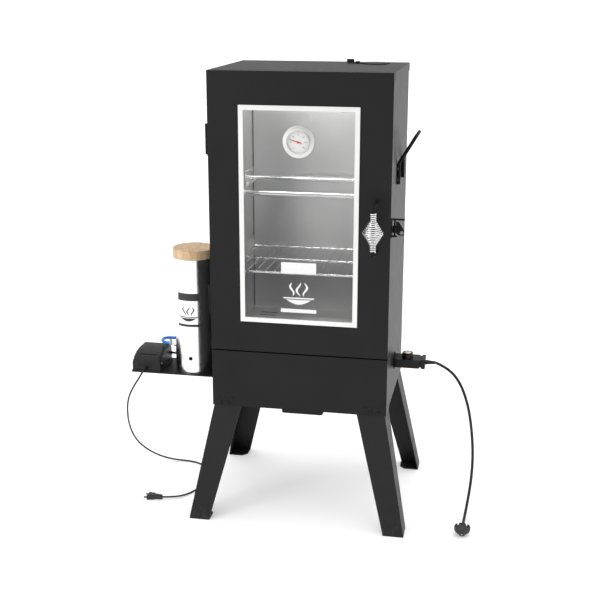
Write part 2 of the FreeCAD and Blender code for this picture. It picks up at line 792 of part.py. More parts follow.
def hinges():
    """Two lift-off hinges: a leaf with its pin on the cabinet, and a leaf with its sleeve on the door."""
    x = number(hinge_x)
    y = number(hinge_y)
    radius = number("hinge_radius")
    thick = number("hinge_leaf")
    wide = number("hinge_leaf_wide")
    half = number("(hinge_tall - hinge_gap) / 2")
    away = radius + 1
    fixed = []
    moving = []
    for low in (number("lower_hinge"), number("upper_hinge")):
        def leaf(face, near, far, bottom, tall):
            return Part.makeBox(thick, far - near, tall, Vector(face - thick, near, bottom))
        face = -number(side_out)
        knuckle = Part.makeCylinder(radius, half, Vector(x, y, low))
        neck = Part.makeBox(face - x, thick, half, Vector(x, y + radius - thick, low))
        plate = leaf(face, y + radius - thick, y + away + wide, low, half)
        tail = leaf(face, y + away, y + away + wide, low, number("hinge_tall"))
        pin = Part.makeCylinder(number("hinge_pin"), half * 2, Vector(x, y, low))
        fixed.append(knuckle.fuse([neck, plate, tail, pin]).removeSplitter())
        face = -number(half_width)
        top = low + half + number("hinge_gap")
        knuckle = Part.makeCylinder(radius, half, Vector(x, y, top))
        neck = Part.makeBox(face - x, thick, half, Vector(x, y - radius, top))
        end = y - number("door_thick - 2")
        plate = leaf(face, end, y - radius + thick, top, half)
        tail = leaf(face, end, y - away, low, number("hinge_tall"))
        bore = Part.makeCylinder(number("hinge_pin + pin_clear"), half * 4, Vector(x, y, low))
        moving.append(knuckle.fuse([neck, plate, tail]).cut(bore).removeSplitter())
    solid_from("cabinet_hinge_leaves", Part.makeCompound(fixed))
    solid_from("door_hinge_leaves", Part.makeCompound(moving))


def door_handle():
    """The handle: a bowed rod on the door, with a coil that swells in its middle as the grip."""
    x = number("handle_x")
    face = -number(half_depth)
    out = face - number("handle_reach")
    low = number("handle_low")
    high = number("handle_high")
    bow = [(x, face, high), (x, out, high), (x, out, low), (x, face, low)]
    solid_from("door_handle_rod", round_bar(bow, number("handle_rod"), number("handle_bend"))[0])
    body = new_body("handle_coil", x="handle_x", y="-%s - handle_reach" % half_depth,
                    z="handle_low + handle_bend + coil_end_gap")
    tall = "(handle_high - handle_low - 2 * handle_bend - 2 * coil_end_gap)"
    middle = tall + " / 2"
    skin = sketch_on(body, "XZ_Plane")
    loop(skin, [("handle_rod", "0"), ("coil_narrow", "0"), ("coil_narrow", "coil_collar"), ("coil_wide", middle),
                ("coil_narrow", tall + " - coil_collar"), ("coil_narrow", tall), ("handle_rod", tall),
                ("handle_rod", tall + " - coil_collar"), ("coil_wide - coil_wire", middle),
                ("handle_rod", "coil_collar")])
    revolve(body, skin)


def hasp():
    """The hasp: a bracket with an upright pin on the door's edge, a swinging plate, a stud on the cabinet."""
    low = "hasp_low"
    flange = box("bracket_flange", (half_width, half_width + " + 1.5"), ("hasp_y - 16", "hasp_y + 4"),
                 (low + " - 4", "hasp_high + bracket_plate"))
    shelves = []
    for height, reach in (("hasp_high", "bracket_reach"), (low + " - 4", "hasp_out + hasp_boss")):
        shelves.append(box("bracket_shelf", (half_width, half_width + " + " + reach),
                           ("hasp_y - hasp_boss", "hasp_y + hasp_boss - 1"), (height, height + " + bracket_plate")))
    pin = rod("bracket_pin", "z", "hasp_pin", (hasp_x, "hasp_y", low + " - 3"), "hasp_high - hasp_low + 4")
    keep(fuse("bracket", [flange, pin] + shelves), "hasp_bracket")
    body = new_body("hasp_plate", x=hasp_x, y="hasp_y", z=low)
    boss = ring(sketch_on(body, "XY_Plane", "6"), "0", "0", "hasp_boss")
    pad(body, boss, "16")
    plate = sketch_on(body, "XZ_Plane", "-hasp_plate / 2")
    loop(plate, [("0", "8"), ("10", "0"), ("hasp_reach", "0"), ("hasp_reach", "12"), ("9", "32"),
                 ("3", "32"), ("3", "20"), ("0", "20")])
    pad(body, plate, "hasp_plate")
    eye = ring(sketch_on(body, "XZ_Plane", "-hasp_plate"), "hasp_eye", "6", "hasp_eye_radius")
    pocket(body, eye, "hasp_plate * 2", True)
    bore = ring(sketch_on(body, "XY_Plane"), "0", "0", "hasp_pin + pin_clear")
    pocket(body, bore, "40", True)
    stud = rod("stud_shank", "x", "staple_radius", (side_out, "hasp_y + hasp_eye", low + " + 6"),
               hasp_x + " + 6 - " + side_out)
    foot = rod("stud_foot", "x", "staple_radius + 3", (side_out, "hasp_y + hasp_eye", low + " + 6"), "1.5")
    keep(fuse("stud", [stud, foot]), "hasp_stud")


def thermometer():
    """The dial thermometer in the glass: case and stem, needle, lens and the nut behind the glass."""
    glass_face = "(steel - %s)" % half_depth
    case = new_body("thermometer_case", y=glass_face, z="therm_height")
    bezel = ring(sketch_on(case, "XZ_Plane"), "0", "0", "therm_bezel")
    bezel_pad = pad(case, bezel, "therm_flange")
    front = bezel_pad.Shape.BoundBox.YMin + 0.01
    soften(case, bezel_pad, lambda edge: edge.BoundBox.YMax < front, "therm_flange / 2")
    drum = ring(sketch_on(case, "XZ_Plane"), "0", "0", "therm_body")
    pad(case, drum, "therm_body_deep")
    cup = ring(sketch_on(case, "XZ_Plane", "therm_body_deep - 5"), "0", "0", "therm_dial")
    pocket(case, cup, "6", True)
    neck = ring(sketch_on(case, "XZ_Plane"), "0", "0", "therm_neck - 0.5")
    pad(case, neck, "glass_thick + 8", True)
    stem = ring(sketch_on(case, "XZ_Plane"), "0", "0", "therm_stem")
    pad(case, stem, "therm_stem_long", True)
    needle = new_body("thermometer_needle", y=glass_face + " - therm_body_deep + 3.9", z="therm_height")
    arrow = loop(sketch_on(needle, "XZ_Plane"), [
        ("7.2", "-3.6"), ("7.8", "-0.8"), ("-therm_dial * 0.78", "therm_dial * 0.23 + 0.9"),
        ("-therm_dial * 0.78 - 0.2", "therm_dial * 0.23 - 0.2")])
    pad(needle, arrow, "0.6")
    pad(needle, ring(sketch_on(needle, "XZ_Plane"), "0", "0", "2.4"), "1")
    lens = new_body("thermometer_lens", y=glass_face + " - therm_body_deep + 1.6", z="therm_height")
    pad(lens, ring(sketch_on(lens, "XZ_Plane"), "0", "0", "therm_dial"), "1.2")
    nut_y = "(steel + glass_thick - %s)" % half_depth
    nut = new_body("thermometer_nut", y=nut_y, z="therm_height")
    collar = sketch_on(nut, "XZ_Plane")
    corners = []
    for step in range(6):
        angle = step * math.pi / 3
        corners.append(("therm_nut * %.4f" % math.cos(angle), "therm_nut * %.4f" % math.sin(angle)))
    loop(collar, corners)
    ring(collar, "0", "0", "therm_neck - 0.5")
    pad(nut, collar, "6", True)


# ---------------------------------------------------------------- racks
def racks():
    """The ledges on the chamber's walls, the two hanging rods and the wire grate."""
    bottoms = {"upper": "(rod_height - rod_radius)", "lower": "(grate_height - grate_bar * 3)"}
    ledges = []
    for level, bottom in bottoms.items():
        for sign in (1, -1):
            wall_side = (liner_in + " - ledge_thick", liner_in)
            shelf_side = (liner_in + " - ledge_wide", liner_in)
            if sign < 0:
                wall_side = ("-" + liner_in, "-%s + ledge_thick" % liner_in)
                shelf_side = ("-" + liner_in, "-%s + ledge_wide" % liner_in)
            along = (body_front + " + steel + 2", liner_back)
            upright = box(level + "_web", wall_side, along, (bottom + " - ledge_thick", bottom + " + ledge_tall"))
            flat = box(level + "_lip", shelf_side, along, (bottom + " - ledge_thick", bottom))
            ledges.append(fuse(level + "_ledge", [upright, flat]))
    joined = doc.addObject("Part::Compound", "ledges")
    joined.Links = ledges
    keep(joined, "rack_ledges")
    reach = liner_in + " - ledge_thick - 1"
    bars = [rod("hanging_rod", "x", "rod_radius", ("-(%s)" % reach, y, "rod_height"), "2 * (%s)" % reach)
            for y in ("front_rod", "back_rod")]
    joined = doc.addObject("Part::Compound", "rods")
    joined.Links = bars
    keep(joined, "hanging_rods")
    wide = number("2 * (%s - 3)" % liner_in)
    bar = number("grate_bar")
    wire = number("grate_wire")
    front = number("grate_front")
    back = number("grate_back")
    height = number("grate_height")
    bar_height = height - wire - bar + 0.6
    parts = []
    for y in (front, (front + back) / 2, back):
        parts.append(Part.makeCylinder(bar, wide, Vector(-wide / 2, y, bar_height), Vector(1, 0, 0)))
    count = int(number("grate_wires"))
    pitch = number("grate_pitch")
    for index in range(count):
        x = (index - (count - 1) / 2) * pitch
        parts.append(Part.makeCylinder(wire, back - front + 2 * bar, Vector(x, front - bar, height), Vector(0, 1, 0)))
    solid_from("wire_grate", parts[0].fuse(parts[1:]))


# ---------------------------------------------------------------- roof vent
def vent_damper():
    """The swinging disc over the flue, with its tab, and the screw it turns on."""
    base = "cabinet_top + damper_lift"
    body = new_body("vent_damper", x="flue_x - damper_pivot", y="flue_y", z=base)
    disc = ring(sketch_on(body, "XY_Plane"), "damper_pivot", "0", "damper_radius")
    pad(body, disc, "damper_thick")
    arm = loop(sketch_on(body, "XY_Plane"), [
        ("-7", "-7"), ("damper_pivot", "-12"), ("damper_pivot", "12"), ("-4", "20"),
        ("-damper_tab_long", "34"), ("-damper_tab_long", "20")])
    pad(body, arm, "damper_thick")
    tab = loop(sketch_on(body, "XY_Plane"), [
        ("-damper_tab_long", "20"), ("-damper_tab_long + 19", "15"), ("-damper_tab_long + 19", "17.5"),
        ("-damper_tab_long", "22.5")])
    pad(body, tab, "damper_tab_tall")
    hole = ring(sketch_on(body, "XY_Plane"), "0", "0", "damper_screw + pin_clear")
    pocket(body, hole, "damper_tab_tall", True)
    shank = rod("pivot_shank", "z", "damper_screw", ("flue_x - damper_pivot", "flue_y", "cabinet_top"),
                "damper_thick + 2 * damper_lift")
    head = rod("pivot_head", "z", "damper_screw + 3",
               ("flue_x - damper_pivot", "flue_y", "cabinet_top + damper_thick + 2 * damper_lift"), "2.5")
    keep(fuse("pivot", [shank, head]), "damper_screw")


# ---------------------------------------------------------------- heater and control
def heater():
    """The tube heater in the bottom, and the socket that its ends and the control's probe meet in."""
    z = number("heater_height")
    half = number("heater_half")
    end = number("heater_long")
    near = number("terminal_half")
    root = number(side_in) - 14
    route = [(root, -near, z), (root - 22, -near, z), (end, -half, z), (-end, -half, z),
             (-end, half, z), (end, half, z), (root - 22, near, z), (root, near, z)]
    bar = round_bar(route, number("heater_radius"), number("heater_bend / 3"))[0]
    solid_from("heating_element", bar)
    plate = rod("socket_disc", "x", "socket_radius", (side_out, "0", "heater_height"), "socket_plate")
    neck = box("socket_block", (side_in + " - 14", side_out), ("-terminal_half - 3", "terminal_half + 3"),
               ("heater_height - 8", "heater_height + 8"))
    bore = rod("socket_bore", "x", "probe_radius + 0.5", (side_in + " - 20", "0", "heater_height"), "40")
    keep(cut("socket_cut", fuse("socket_join", [plate, neck]), [bore]), "heater_socket")


def control():
    """The plug-in control: a flat housing with a finger grip, its probe, its knob and its cord's relief."""
    start = side_out + " + socket_plate"
    waist = "control_end - grip_long"
    body = new_body("control_housing", z=control_low)
    case = window(sketch_on(body, "XY_Plane"), (start, waist + " - waist_long"), ("-control_half", "control_half"))
    case_pad = pad(body, case, "control_tall")
    upright = Vector(0, 0, 1)
    soften(body, case_pad, lambda edge: runs_along(edge, upright), "3")
    neck = window(sketch_on(body, "XY_Plane", "2"), (waist + " - waist_long - 2", waist + " + 2"),
                  ("-waist_half", "waist_half"))
    pad(body, neck, "control_tall - 3")
    grip = window(sketch_on(body, "XY_Plane", "(control_tall - grip_tall) / 2"), (waist, "control_end"),
                  ("-grip_half", "grip_half"))
    pad(body, grip, "grip_tall")
    probe = ring(sketch_on(body, "YZ_Plane", start), "0", "control_tall / 2", "probe_radius")
    pad(body, probe, "(%s) - probe_tip" % start, True)
    bore = ring(sketch_on(body, "XY_Plane", "control_tall + 1"), "knob_x", "knob_y", "knob_shaft + pin_clear")
    pocket(body, bore, "knob_shaft_long + 2")
    knob = new_body("control_knob", x="knob_x", y="knob_y", z=control_high + " + knob_clear")
    profile = sketch_on(knob, "XZ_Plane")
    loop(profile, [("0", "-knob_shaft_long"), ("knob_shaft", "-knob_shaft_long"), ("knob_shaft", "0"),
                   ("knob_radius", "0"), ("knob_radius - 0.8", "knob_tall - 1"),
                   ("knob_radius - 1.8", "knob_tall"), ("0", "knob_tall")])
    revolve(knob, profile)
    base = (number("control_end"), 0, number("heater_height"))
    relief = cone_stub(base, (1, 0, 0), number("relief_long"), number("mains_radius + 2.5"), number("mains_radius"))
    solid_from("control_cord_relief", relief)


# the mains cord's route: out of the control, down, and forward along the floor to its plug
MAINS_ROUTE = [
    (318, 0, 376), (350, -1, 364), (382, -4, 328), (404, -8, 270), (416, -14, 205), (422, -24, 142),
    (421, -39, 86), (416, -62, 42), (411, -95, 14), (409, -130, 10), (408, -152, 11),
]
# the pump lead's route: out of the pump's front, down and back to the floor, round and forward to its plug
LEAD_ROUTE = [
    (-426, -79, 331), (-427, -92, 329), (-430, -104, 321), (-437, -111, 309), (-447, -112, 292),
    (-459, -105, 270), (-469, -92, 243), (-477, -74, 214), (-484, -52, 178), (-487, -24, 136),
    (-483, 8, 94), (-468, 44, 55), (-443, 78, 23), (-408, 100, 5), (-366, 106, 2.3), (-326, 92, 2.3),
    (-298, 58, 2.3), (-285, 14, 2.3), (-286, -34, 2.3), (-299, -78, 2.3), (-318, -112, 4),
    (-342, -131, 6.5), (-368, -137, 7),
]
# the air hose's route: from the pump's nipple round behind the can and back to the jet
HOSE_ROUTE = [
    (-376, 36, 345), (-366, 37.5, 345), (-357, 42, 345), (-345, 52, 345), (-330, 61, 345),
    (-311, 68, 345), (-288, 71.5, 345), (-259.5, 72, 345.5), (-248, 78.5, 347.5), (-241, 90, 351),
    (-241, 104, 355), (-248, 115.5, 359), (-259.5, 122, 362), (-283, 122, 365), (-308, 112, 367),
    (-331, 95, 370), (-351, 78, 374), (-370, 65, 377), (-386, 57.5, 380), (-399, 49, 382.5),
    (-406.5, 36, 384), (-406.5, 21, 384), (-399, 8, 384), (-386, 0.5, 384), (-372, 0, 384),
]


def mains_lead():
    """The control's cord and its angled two-pin earthed plug, which lies on its back."""
    cord("mains_cord", MAINS_ROUTE, number("mains_radius"))
    x, y, z = MAINS_ROUTE[-1]
    boot = cone_stub((x, y, z), (0, -1, 0), 20, number("mains_radius"), 6)
    middle = Vector(x, y - 31, 0)
    outline = Part.makePolygon([middle + Vector(radius, 0, height) for radius, height in (
        (0, 0), (7.5, 0), (7.5, 4), (12, 5.5), (17.5, 10), (19.5, 15), (19.5, 24), (0, 24), (0, 0))])
    body = Part.Face(outline).revolve(middle, Vector(0, 0, 1), 360).fuse(boot)
    pins = [Part.makeCylinder(2.4, 19, middle + Vector(offset, 0, 24)) for offset in (-9.5, 9.5)]
    solid_from("mains_plug", body.fuse(pins).removeSplitter())


def pump_lead():
    """The pump's cord and its flat two-pin plug, which lies on the floor."""
    cord("pump_cord", LEAD_ROUTE, number("lead_radius"))
    x, y, z = LEAD_ROUTE[-1]
    boot = cone_stub((x, y, z), (-1, 0, 0), 20, number("lead_radius"), 4)
    block = Part.makeBox(22, 26, 13.6, Vector(x - 40, y - 13, z - 6.8))
    block = block.makeFillet(3, [edge for edge in block.Edges if runs_along(edge, Vector(0, 0, 1))])
    pins = [Part.makeCylinder(2, 19, Vector(x - 40, y + offset, z), Vector(-1, 0, 0)) for offset in (-9.3, 9.3)]
    solid_from("pump_plug", block.fuse([boot] + pins).removeSplitter())


# ---------------------------------------------------------------- carry handle
def carry_handle():
    """The bail on the right side: a bent bar with two feet on the side panel and a grip that stands out."""
    x = number(side_out + " + bail_rod")
    half = number("bail_half")
    low = number("bail_low")
    knee = number("bail_knee")
    top = number("bail_top")
    out = x + number("bail_reach - bail_rod")
    route = [(x, -half, low), (x, -half, knee), (out, -half, top), (out, half, top), (x, half, knee), (x, half, low)]
    solid_from("carry_handle", round_bar(route, number("bail_rod"), number("bail_bend"))[0])


# ---------------------------------------------------------------- smoke generator
def shelf():
    """The shelf at the left, folded up against the side panel, with a hem at its front and back."""
    flange = box("shelf_flange", ("-%s - shelf_steel" % side_out, "-" + side_out), ("-shelf_half", "shelf_half"),
                 ("shelf_top - shelf_flange", "shelf_top"))
    deck = box("shelf_deck", ("-shelf_end", "-" + side_out), ("-shelf_half", "shelf_half"),
               ("shelf_top - shelf_steel", "shelf_top"))
    keep(fuse("shelf_join", [flange, deck]), "generator_shelf")


def generator():
    """The generator: can with its base, wooden lid, and the jet and outlet pipe that cross it."""
    inner = "(can_radius - can_steel)"
    tube = rod("can_out", "z", "can_radius", ("can_x", "0", "shelf_top"), "can_top - shelf_top")
    bore = rod("can_in", "z", inner, ("can_x", "0", "shelf_top + can_base"), "can_top")
    light = rod("can_light", "y", "light_hole", ("can_x", "-can_radius - 2", "light_hole_height"), "8")
    out = rod("can_outlet", "x", "outlet_radius", ("can_x", "0", "jet_height"), "can_radius + 5")
    inlet = rod("can_jet", "x", "jet_radius", ("can_x - can_radius - 2", "0", "jet_height"), "8")
    keep(cut("can_cut", tube, [bore, light, out, inlet]), "generator_can")
    lid = new_body("generator_lid", x="can_x", z=lid_low)
    profile = sketch_on(lid, "XZ_Plane")
    edge = "(can_radius + lid_proud)"
    plug = "(can_radius - can_steel - lid_clear)"
    loop(profile, [("0", "-lid_lip"), (plug, "-lid_lip"), (plug, "lid_clear"), (edge, "lid_clear"),
                   (edge, "lid_tall - 1.5"), (edge + " - 1.5", "lid_tall"), ("0", "lid_tall")])
    revolve(lid, profile)
    pipe_start = "(can_x + can_radius - 8)"
    pipe = rod("outlet_out", "x", "outlet_radius", (pipe_start, "0", "jet_height"), "-%s - steel - 2 - %s"
               % (liner_in, pipe_start))
    pipe_bore = rod("outlet_in", "x", "outlet_radius - outlet_wall", (pipe_start + " - 1", "0", "jet_height"), "140")
    keep(cut("outlet_cut", pipe, [pipe_bore]), "smoke_outlet_pipe")
    jet = rod("jet_out", "x", "jet_radius", ("can_x - can_radius - 12 - jet_out + 6", "0", "jet_height"), "80")
    nut = rod("jet_nut", "x", "jet_radius + 4", ("can_x - can_radius - 6", "0", "jet_height"), "6")
    jet_bore = rod("jet_in", "x", "jet_radius - 1.5", ("can_x - can_radius - 20", "0", "jet_height"), "100")
    keep(cut("jet_cut", fuse("jet_join", [jet, nut]), [jet_bore]), "air_jet")


def pump():
    """The air pump: a housing with a rounded front, its base, its coil and nipple, and its cord's relief."""
    body = new_body("pump_housing", x="-pump_right", z="shelf_top + pump_base")
    side = sketch_on(body, "YZ_Plane")
    tall = "pump_tall - pump_base"
    face = "pump_face - pump_base"
    loop(side, [("pump_front", "0"), ("pump_back", "0"), ("pump_back", tall + " - 6"),
                ("pump_back - 10", tall), ("pump_front + 52", tall), ("pump_front + 30", tall + " - 2.5"),
                ("pump_front + 12", tall + " - 9"), ("pump_front", face)])
    block = pad(body, side, "pump_left - pump_right", True)
    low = block.Shape.BoundBox.ZMin + 1

    def shoulder(edge):
        box_of = edge.BoundBox
        ends = box_of.XMax - box_of.XMin < 0.01
        return ends and box_of.ZMin > low + 20 and box_of.YMax - box_of.YMin > 5
    soften(body, block, shoulder, "8")
    hollow = window(sketch_on(body, "XY_Plane"), ("-(pump_left - pump_right) + pump_wall", "-pump_wall"),
                    ("pump_front + pump_wall", "pump_back - pump_wall"))
    pocket(body, hollow, "pump_face - pump_base - 6", True)
    base = new_body("pump_base", z="shelf_top")
    plate = window(sketch_on(base, "XY_Plane"), ("-pump_left - pump_lip", "-pump_right + pump_lip"),
                   ("pump_front - pump_lip", "pump_back + pump_lip"))
    plate_pad = pad(base, plate, "pump_base")
    upright = Vector(0, 0, 1)
    soften(base, plate_pad, lambda edge: runs_along(edge, upright), "3")
    port = ring(sketch_on(body, "YZ_Plane"), "nipple_y", "nipple_height - shelf_top - pump_base", "nipple_radius")
    pocket(body, port, "pump_wall")
    floor = "(shelf_top + pump_base)"
    coil = box("pump_coil", ("pump_coil_inset - pump_left", "-pump_right - pump_coil_inset"),
               ("pump_front + pump_coil_inset", "nipple_y - nipple_radius - 4"), (floor, floor + " + 18"))
    chamber = box("pump_chamber", ("-pump_right - pump_coil_inset - 8", "-pump_right - pump_wall"),
                  ("nipple_y - nipple_radius - 5", "nipple_y + nipple_radius"),
                  (floor, "nipple_height + nipple_radius"))
    pipe = rod("nipple_pipe", "x", "nipple_radius", ("-pump_right - pump_wall - 1", "nipple_y", "nipple_height"),
               "nipple_long + pump_wall + 1")
    collar = rod("nipple_collar", "x", "nipple_radius + 2", ("-pump_right", "nipple_y", "nipple_height"), "3")
    keep(fuse("works", [coil, chamber, pipe, collar]), "pump_works")
    lead = LEAD_ROUTE[0]
    front = number("pump_front")
    relief = cone_stub((lead[0], front, lead[2]), (0, -1, 0), front - lead[1], 4.5, number("lead_radius"))
    solid_from("pump_cord_relief", relief)


side_panels()
back_panel()
roof_cap()
front_frame()
chamber()
insulation()
chamber_floor()
base_floor()
lower_front_panel()
leg("front_left_leg", -1, -1)
leg("front_right_leg", 1, -1)
leg("back_left_leg", -1, 1)
leg("back_right_leg", 1, 1)
leg_bolts()
drip_tray()
door_skin()
door_filling()
window_pieces()
door_seal()
hinges()
door_handle()
hasp()
thermometer()
racks()
vent_damper()
heater()
control()
mains_lead()
carry_handle()
shelf()
generator()
pump()
cord("air_hose", HOSE_ROUTE, number("hose_radius"))
pump_lead()
doc.recompute()

# ---------------------------------------------------------------- checks and writing
faults = ["%s %s" % (item.Label, item.State) for item in doc.Objects
          if "Invalid" in item.State or "Error" in item.State]
for piece in pieces:
    shape = piece.Shape
    if shape.isNull() or not shape.isValid() or not shape.Solids:
        faults.append(piece.Label + " has no valid shape")
if len({piece.Label for piece in pieces}) != len(pieces):
    faults.append("two sub-parts share a label")
if faults:
    raise ValueError("; ".join(faults))
os.makedirs("parts", exist_ok=True)
for piece in pieces:
    piece.Shape.exportStep("parts/%s.step" % piece.Label)
print(len(pieces), "sub-parts written")
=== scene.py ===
"""Looks of the electric cabinet smoker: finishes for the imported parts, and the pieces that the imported
parts hold only in plain form, such as the wound grip, the dial, the prints, the plugs and the cords.

Metres, +Z up.  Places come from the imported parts' boxes.  HOME is the cabinet's own origin: the middle of
the cabinet on the floor, with x to the right and y to the back.
"""
import json
import math

import bmesh
import bpy
from mathutils import Matrix, Vector

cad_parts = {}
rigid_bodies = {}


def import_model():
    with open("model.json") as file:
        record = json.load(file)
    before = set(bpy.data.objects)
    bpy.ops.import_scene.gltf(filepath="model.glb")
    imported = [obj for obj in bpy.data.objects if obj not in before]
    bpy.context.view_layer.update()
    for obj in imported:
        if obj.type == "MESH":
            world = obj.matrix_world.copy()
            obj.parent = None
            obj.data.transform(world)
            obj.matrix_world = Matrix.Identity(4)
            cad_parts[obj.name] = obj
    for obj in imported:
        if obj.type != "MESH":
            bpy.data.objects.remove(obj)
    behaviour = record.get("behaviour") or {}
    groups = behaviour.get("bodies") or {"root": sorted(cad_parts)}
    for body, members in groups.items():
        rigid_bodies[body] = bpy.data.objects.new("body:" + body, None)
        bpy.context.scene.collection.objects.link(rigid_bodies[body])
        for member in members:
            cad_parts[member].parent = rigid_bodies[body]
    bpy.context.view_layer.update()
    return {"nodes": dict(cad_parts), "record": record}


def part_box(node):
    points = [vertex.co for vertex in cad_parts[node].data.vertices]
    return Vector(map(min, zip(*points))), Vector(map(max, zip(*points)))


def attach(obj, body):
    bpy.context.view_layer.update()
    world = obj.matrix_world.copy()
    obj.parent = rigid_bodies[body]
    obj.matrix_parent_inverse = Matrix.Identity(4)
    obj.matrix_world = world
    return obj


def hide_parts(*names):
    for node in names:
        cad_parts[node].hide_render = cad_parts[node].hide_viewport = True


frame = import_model()
nodes = frame["nodes"]

MM = 0.001
DOOR_LOW, DOOR_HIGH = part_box("door_skin")
CABINET_DEPTH = 0.354
HOME = Vector(((DOOR_LOW.x + DOOR_HIGH.x) / 2, DOOR_LOW.y + CABINET_DEPTH / 2, 0))


def spot(x, y, z):
    """A place given in millimetres of the cabinet's own frame."""
    return HOME + Vector((x, y, z)) * MM


# ---------------------------------------------------------------- camera
CAMERA_PLACE = spot(478.85, -2640.0, 1288.2)
CAMERA_YAW = math.radians(10.917)
CAMERA_PITCH = math.radians(15.929)
CAMERA_ROLL = math.radians(0.08)
CAMERA_LENS = 66.06


def make_camera():
    """The studio camera: to the right of the cabinet's front, looking down a little."""
    data = bpy.data.cameras.new("studio_camera")
    data.lens = CAMERA_LENS
    data.sensor_width = 36
    data.clip_end = 50
    camera = bpy.data.objects.new("studio_camera", data)
    bpy.context.scene.collection.objects.link(camera)
    tilt = Matrix.Rotation(math.pi / 2 - CAMERA_PITCH, 4, "X")
    turn = Matrix.Rotation(CAMERA_YAW, 4, "Z")
    roll = Matrix.Rotation(CAMERA_ROLL, 4, "Z")
    camera.matrix_world = Matrix.Translation(CAMERA_PLACE) @ turn @ tilt @ roll
    bpy.context.scene.camera = camera


# ---------------------------------------------------------------- finishes
def finish(name, colour, roughness, metal=0.0, **sockets):
    """A new material with its plain values on the shader's own sockets."""
    made = bpy.data.materials.new(name)
    made.use_nodes = True
    shader = made.node_tree.nodes["Principled BSDF"]
    shader.inputs["Base Color"].default_value = (*colour, 1)
    shader.inputs["Roughness"].default_value = roughness
    shader.inputs["Metallic"].default_value = metal
    for socket, value in sockets.items():
        shader.inputs[socket.replace("_", " ")].default_value = value
    return made


def shader_of(made):
    return made.node_tree.nodes["Principled BSDF"]


def add(made, kind, **values):
    """A node in a material's tree, with its inputs and settings."""
    node = made.node_tree.nodes.new(kind)
    for name, value in values.items():
        if name in node.inputs:
            node.inputs[name].default_value = value
        else:
            setattr(node, name, value)
    return node


def wire(made, source, target):
    made.node_tree.links.new(source, target)


def grain(made, cells, detail=2.0, seed=0.0):
    """A noise over the object's own coordinates: cells per metre, one number or one each for x, y and z."""
    place = add(made, "ShaderNodeTexCoord")
    stretch = cells if isinstance(cells, tuple) else (cells, cells, cells)
    mapping = add(made, "ShaderNodeMapping", Scale=stretch, Location=(seed, seed * 0.7, 0))
    noise = add(made, "ShaderNodeTexNoise", Scale=1.0, Detail=detail)
    wire(made, place.outputs["Object"], mapping.inputs["Vector"])
    wire(made, mapping.outputs["Vector"], noise.inputs["Vector"])
    return noise.outputs["Fac"]


def spread(made, source, low, high, start=0.3, end=0.7):
    """A value's range stretched to low..high."""
    ramp = add(made, "ShaderNodeMapRange")
    for name, value in (("From Min", start), ("From Max", end), ("To Min", low), ("To Max", high)):
        ramp.inputs[name].default_value = value
    wire(made, source, ramp.inputs["Value"])
    return ramp.outputs["Result"]


def uneven_gloss(made, source, low, high, start=0.3, end=0.7):
    """A roughness that wanders between low and high."""
    wire(made, spread(made, source, low, high, start, end), shader_of(made).inputs["Roughness"])


def tint(made, source, dark, light, start=0.3, end=0.7):
    """A colour between two, for the base colour."""
    ramp = add(made, "ShaderNodeValToRGB")
    ramp.color_ramp.elements[0].position = start
    ramp.color_ramp.elements[0].color = (*dark, 1)
    ramp.color_ramp.elements[1].position = end
    ramp.color_ramp.elements[1].color = (*light, 1)
    wire(made, source, ramp.inputs["Fac"])
    wire(made, ramp.outputs["Color"], shader_of(made).inputs["Base Color"])
    return ramp


def relief(made, height, depth, strength=1.0):
    """A bump of that depth in metres, on top of any bump that is there."""
    shader = shader_of(made)
    bump = add(made, "ShaderNodeBump", Strength=strength, Distance=depth)
    wire(made, height, bump.inputs["Height"])
    if shader.inputs["Normal"].links:
        wire(made, shader.inputs["Normal"].links[0].from_socket, bump.inputs["Normal"])
    wire(made, bump.outputs["Normal"], shader.inputs["Normal"])


def powder_coat():
    """Satin black powder coat: orange peel, a little dust and slightly uneven gloss."""
    made = finish("powder_coat", (0.009, 0.009, 0.0094), 0.44, Specular_IOR_Level=0.19)
    cloud = grain(made, 9, 4)
    tint(made, cloud, (0.0066, 0.0066, 0.007), (0.009, 0.009, 0.0094))
    uneven_gloss(made, grain(made, 40, 3, 5), 0.43, 0.465)
    relief(made, grain(made, 900, 1, 2), 0.00012, 0.5)
    return made


def leg_coat():
    """The same coat on the legs, duller and scuffed near the floor."""
    made = finish("leg_coat", (0.011, 0.011, 0.0115), 0.5, Specular_IOR_Level=0.25)
    place = add(made, "ShaderNodeTexCoord")
    parts = add(made, "ShaderNodeSeparateXYZ")
    wire(made, place.outputs["Object"], parts.inputs["Vector"])
    low = spread(made, parts.outputs["Z"], 1.0, 0.0, 0.0, 0.06)
    scuffs = spread(made, grain(made, (160, 160, 60), 5, 3), 0.0, 1.0, 0.55, 0.72)
    worn = add(made, "ShaderNodeMath", operation="MULTIPLY")
    wire(made, low, worn.inputs[0])
    wire(made, scuffs, worn.inputs[1])
    tint(made, worn.outputs[0], (0.01, 0.01, 0.0105), (0.035, 0.034, 0.032), 0.0, 1.0)
    uneven_gloss(made, grain(made, 40, 3, 5), 0.42, 0.55)
    relief(made, grain(made, 900, 1, 2), 0.00012, 0.5)
    return made


def fitting_coat():
    """The thicker, duller black on small folded fittings, rubbed a little on their high spots."""
    made = finish("fitting_coat", (0.006, 0.006, 0.0063), 0.6, Specular_IOR_Level=0.12)
    tint(made, grain(made, 260, 4, 6), (0.0045, 0.0045, 0.0048), (0.011, 0.011, 0.0112), 0.35, 0.8)
    uneven_gloss(made, grain(made, 120, 3), 0.54, 0.66)
    relief(made, grain(made, 1100, 1, 2), 0.0001, 0.5)
    return made


